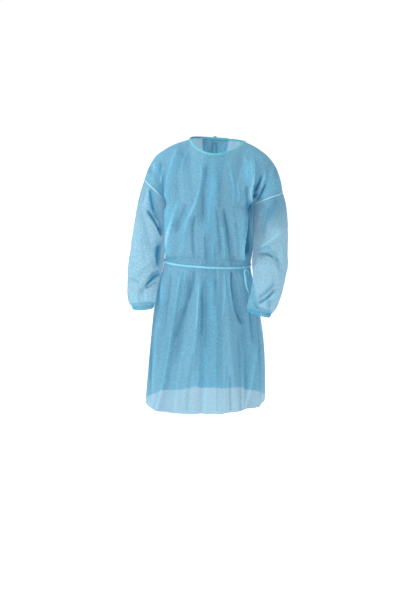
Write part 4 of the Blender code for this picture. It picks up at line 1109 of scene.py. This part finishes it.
def build_neck(cloths, thread):
    """The binding with its stitches, the knot at the back and the two ties."""
    binding = tape_material("neck_binding_tape", (0.055, 0.370, 0.450), (0.095, 0.440, 0.500))
    right_back = cloths[1]
    path, up, out = neck_path(*cloths)
    _, path, up, out = resampled(path, BINDING_STEP, up, out)
    up, out = unit(up), unit(out)
    t = np.linspace(0, 1, len(path))
    pucker = 0.0004 * wave(t * 150, 21)
    widths = BINDING_WIDTH * (1 + 0.05 * wave(t * 60, 22))
    outline = np.array([band_outline(width, BINDING_THICK) for width in widths])
    rise = SEAM_GAP + BINDING_RISE - BINDING_TUCK + pucker
    middle = path + up * rise[:, None] - out * (BINDING_TUCK + BINDING_THICK / 2)
    add_band("neck_binding_tape", middle, up, out, outline, binding, "neck_binding")
    line = middle + out * (BINDING_THICK - 0.0001) - up * BINDING_WIDTH / 3
    line, out, ahead = (values[2:-2:2] for values in (line, out, unit(np.gradient(path, axis=0))))
    add_stitches("neck_binding_stitches", line, out, ahead, BINDING_STITCH, thread)
    column = SHOULDER_COLUMNS + sum(OVERLAP_COLUMNS) // 2
    rows = right_back[:3, column]
    up, out = unit(rows[0] - rows[2]), normals(right_back, 1)[0, column]
    away = BINDING_THICK / 2 - BINDING_TUCK + SEAM_GAP + KNOT_DEPTH / 2
    middle = rows[0] + up * (SEAM_GAP + BINDING_RISE) + out * away
    add_knot("neck_knot_tape", middle, unit(out * (1, 1, 0)), binding, "neck_knot", 2)
    for name, spots, seed in (("right", RIGHT_NECK_TIE, 61), ("left", LEFT_NECK_TIE, 62)):
        node = f"neck_tie_{name}"
        add_tie_on(f"{node}_tape", spots, right_back, 1, binding, node, TIE_WIDTH, seed)


def build_waist(cloths):
    """The belt, the knot on the wearer's left, and the loop and tail that hang from it."""
    tie = tape_material("tie_tape", (0.140, 0.500, 0.680), (0.230, 0.600, 0.770))
    front = cloths[0]
    path, out = belt_path(*cloths)
    upright = np.tile([0.0, 0.0, 1.0], (len(path), 1))
    turn = np.linspace(0, 1, len(path), endpoint=False)
    sway = 0.0006 * wave(turn * 30, 31, 30) + 0.0010 * wave(turn * 9, 32, 9)
    widths = TIE_WIDTH * (0.94 + 0.10 * wave(turn * 24, 33, 24, row=0))
    outline = np.array([band_outline(width, TIE_THICK) for width in widths])
    belt = path + upright * sway[:, None]
    add_band("waist_tie_tape", belt, upright, out, outline, tie, "waist_tie", True)
    middles = path + out * (TIE_THICK + SEAM_GAP + KNOT_DEPTH / 2)
    at = np.argmin(np.abs(middles[:, 0] - WAIST_KNOT_X) + 10 * (path[:, 1] > 0))
    knot = middles[at]
    add_knot("waist_knot_tape", knot, out[at], tie, "waist_knot", 1)
    loop_spots, tail_spots = (
        [(knot[0] + x, knot[2] + z) for x, z in table] for table in (WAIST_LOOP, WAIST_TAIL)
    )
    loop, away = cloth_under(loop_spots, 160, front, -1, closed=True)
    loop = loop + away * LOOP_CLEAR
    near_knot = ease(loop[:, 2] - knot[2], -0.030, -0.010)
    loop[:, 1] += (knot[1] - loop[:, 1]) * near_knot
    loop = relaxed(loop, 10, closed=True)
    ahead = unit(np.roll(loop, -1, 0) - np.roll(loop, 1, 0))
    leaning = unit(away * 0.85 + unit(np.cross(away, ahead)) * 0.5)
    thick = unit(np.cross(ahead, leaning))
    outline = band_outline(TIE_WIDTH * 0.75, TIE_THICK * 0.7, 16)
    add_band("waist_loop_tape", loop, leaning, thick, outline, tie, "waist_loop", True)
    add_tie_on("waist_tail_tape", tail_spots, front, -1, tie, "waist_tail", TIE_WIDTH * 0.8, 51)


def build():
    pieces = {}
    thread = tape_material("sewing_thread", (0.420, 0.720, 0.850), (0.520, 0.800, 0.900), 3000.0)
    cloths = build_cloth(pieces, thread)
    build_neck(cloths, thread)
    build_waist(cloths)
    return pieces


# ---- stage ----


def build_stage():
    """A pale floor, a studio that is bright on one side and round the horizon, the lamps and the camera."""
    scene = bpy.context.scene
    n = Nodes(bpy.data.materials.new("studio_floor"))
    grain = n.noise(n.add("ShaderNodeTexCoord").outputs["Object"], 3.0, 2.0)
    tone = n.mix(grain, (0.94, 0.94, 0.94), (0.97, 0.97, 0.97))
    pale = n.surface(n.principled(tone, 0.9, Emission_Color=(1, 1, 1, 1), Emission_Strength=0.35))
    corners = [(x * FLOOR_HALF, y * FLOOR_HALF, FLOOR_Z) for x, y in ((-1, -1), (1, -1), (1, 1), (-1, 1))]
    mesh = bpy.data.meshes.new("floor")
    mesh.from_pydata(corners, [], [(0, 1, 2, 3)])
    mesh.materials.append(pale)
    floor = add_object("floor", mesh)
    n = Nodes(bpy.data.worlds.new("studio"))
    direction = n.add("ShaderNodeTexCoord").outputs["Generated"]
    toward = n.add("ShaderNodeVectorMath", {0: direction, 1: unit(BRIGHT_SIDE)}, operation="DOT_PRODUCT")
    side = n.ramp(toward.outputs["Value"], -0.5, 0.55, DIM, WHITE, "SMOOTHSTEP")
    height = n.add("ShaderNodeSeparateXYZ", {0: direction}).outputs["Z"]
    horizon = n.ramp(height, 0.28, 0.62, WHITE, DIM, "SMOOTHSTEP")
    inputs = {"Color": (1, 1, 1, 1), "Strength": n.math("MAXIMUM", side, horizon)}
    scene.world = n.surface(n.add("ShaderNodeBackground", inputs).outputs[0], "World")
    scene.view_settings.view_transform = "Standard"
    for name, place, size, power in LAMPS:
        data = bpy.data.lights.new(name, "AREA")
        data.size, data.energy = size, power
        aim = (Vector(LAMP_AIM) - Vector(place)).to_track_quat("-Z", "Y").to_euler()
        add_object(name, data, place, aim)
    data = bpy.data.cameras.new("camera")
    data.lens, data.sensor_width, data.clip_end = CAMERA_LENS, 36.0, 100
    aim = (math.pi / 2 - math.atan(CAMERA_SLOPE), 0, 0)
    scene.camera = add_object("camera", data, CAMERA_PLACE, aim)


pieces = build()
build_stage()
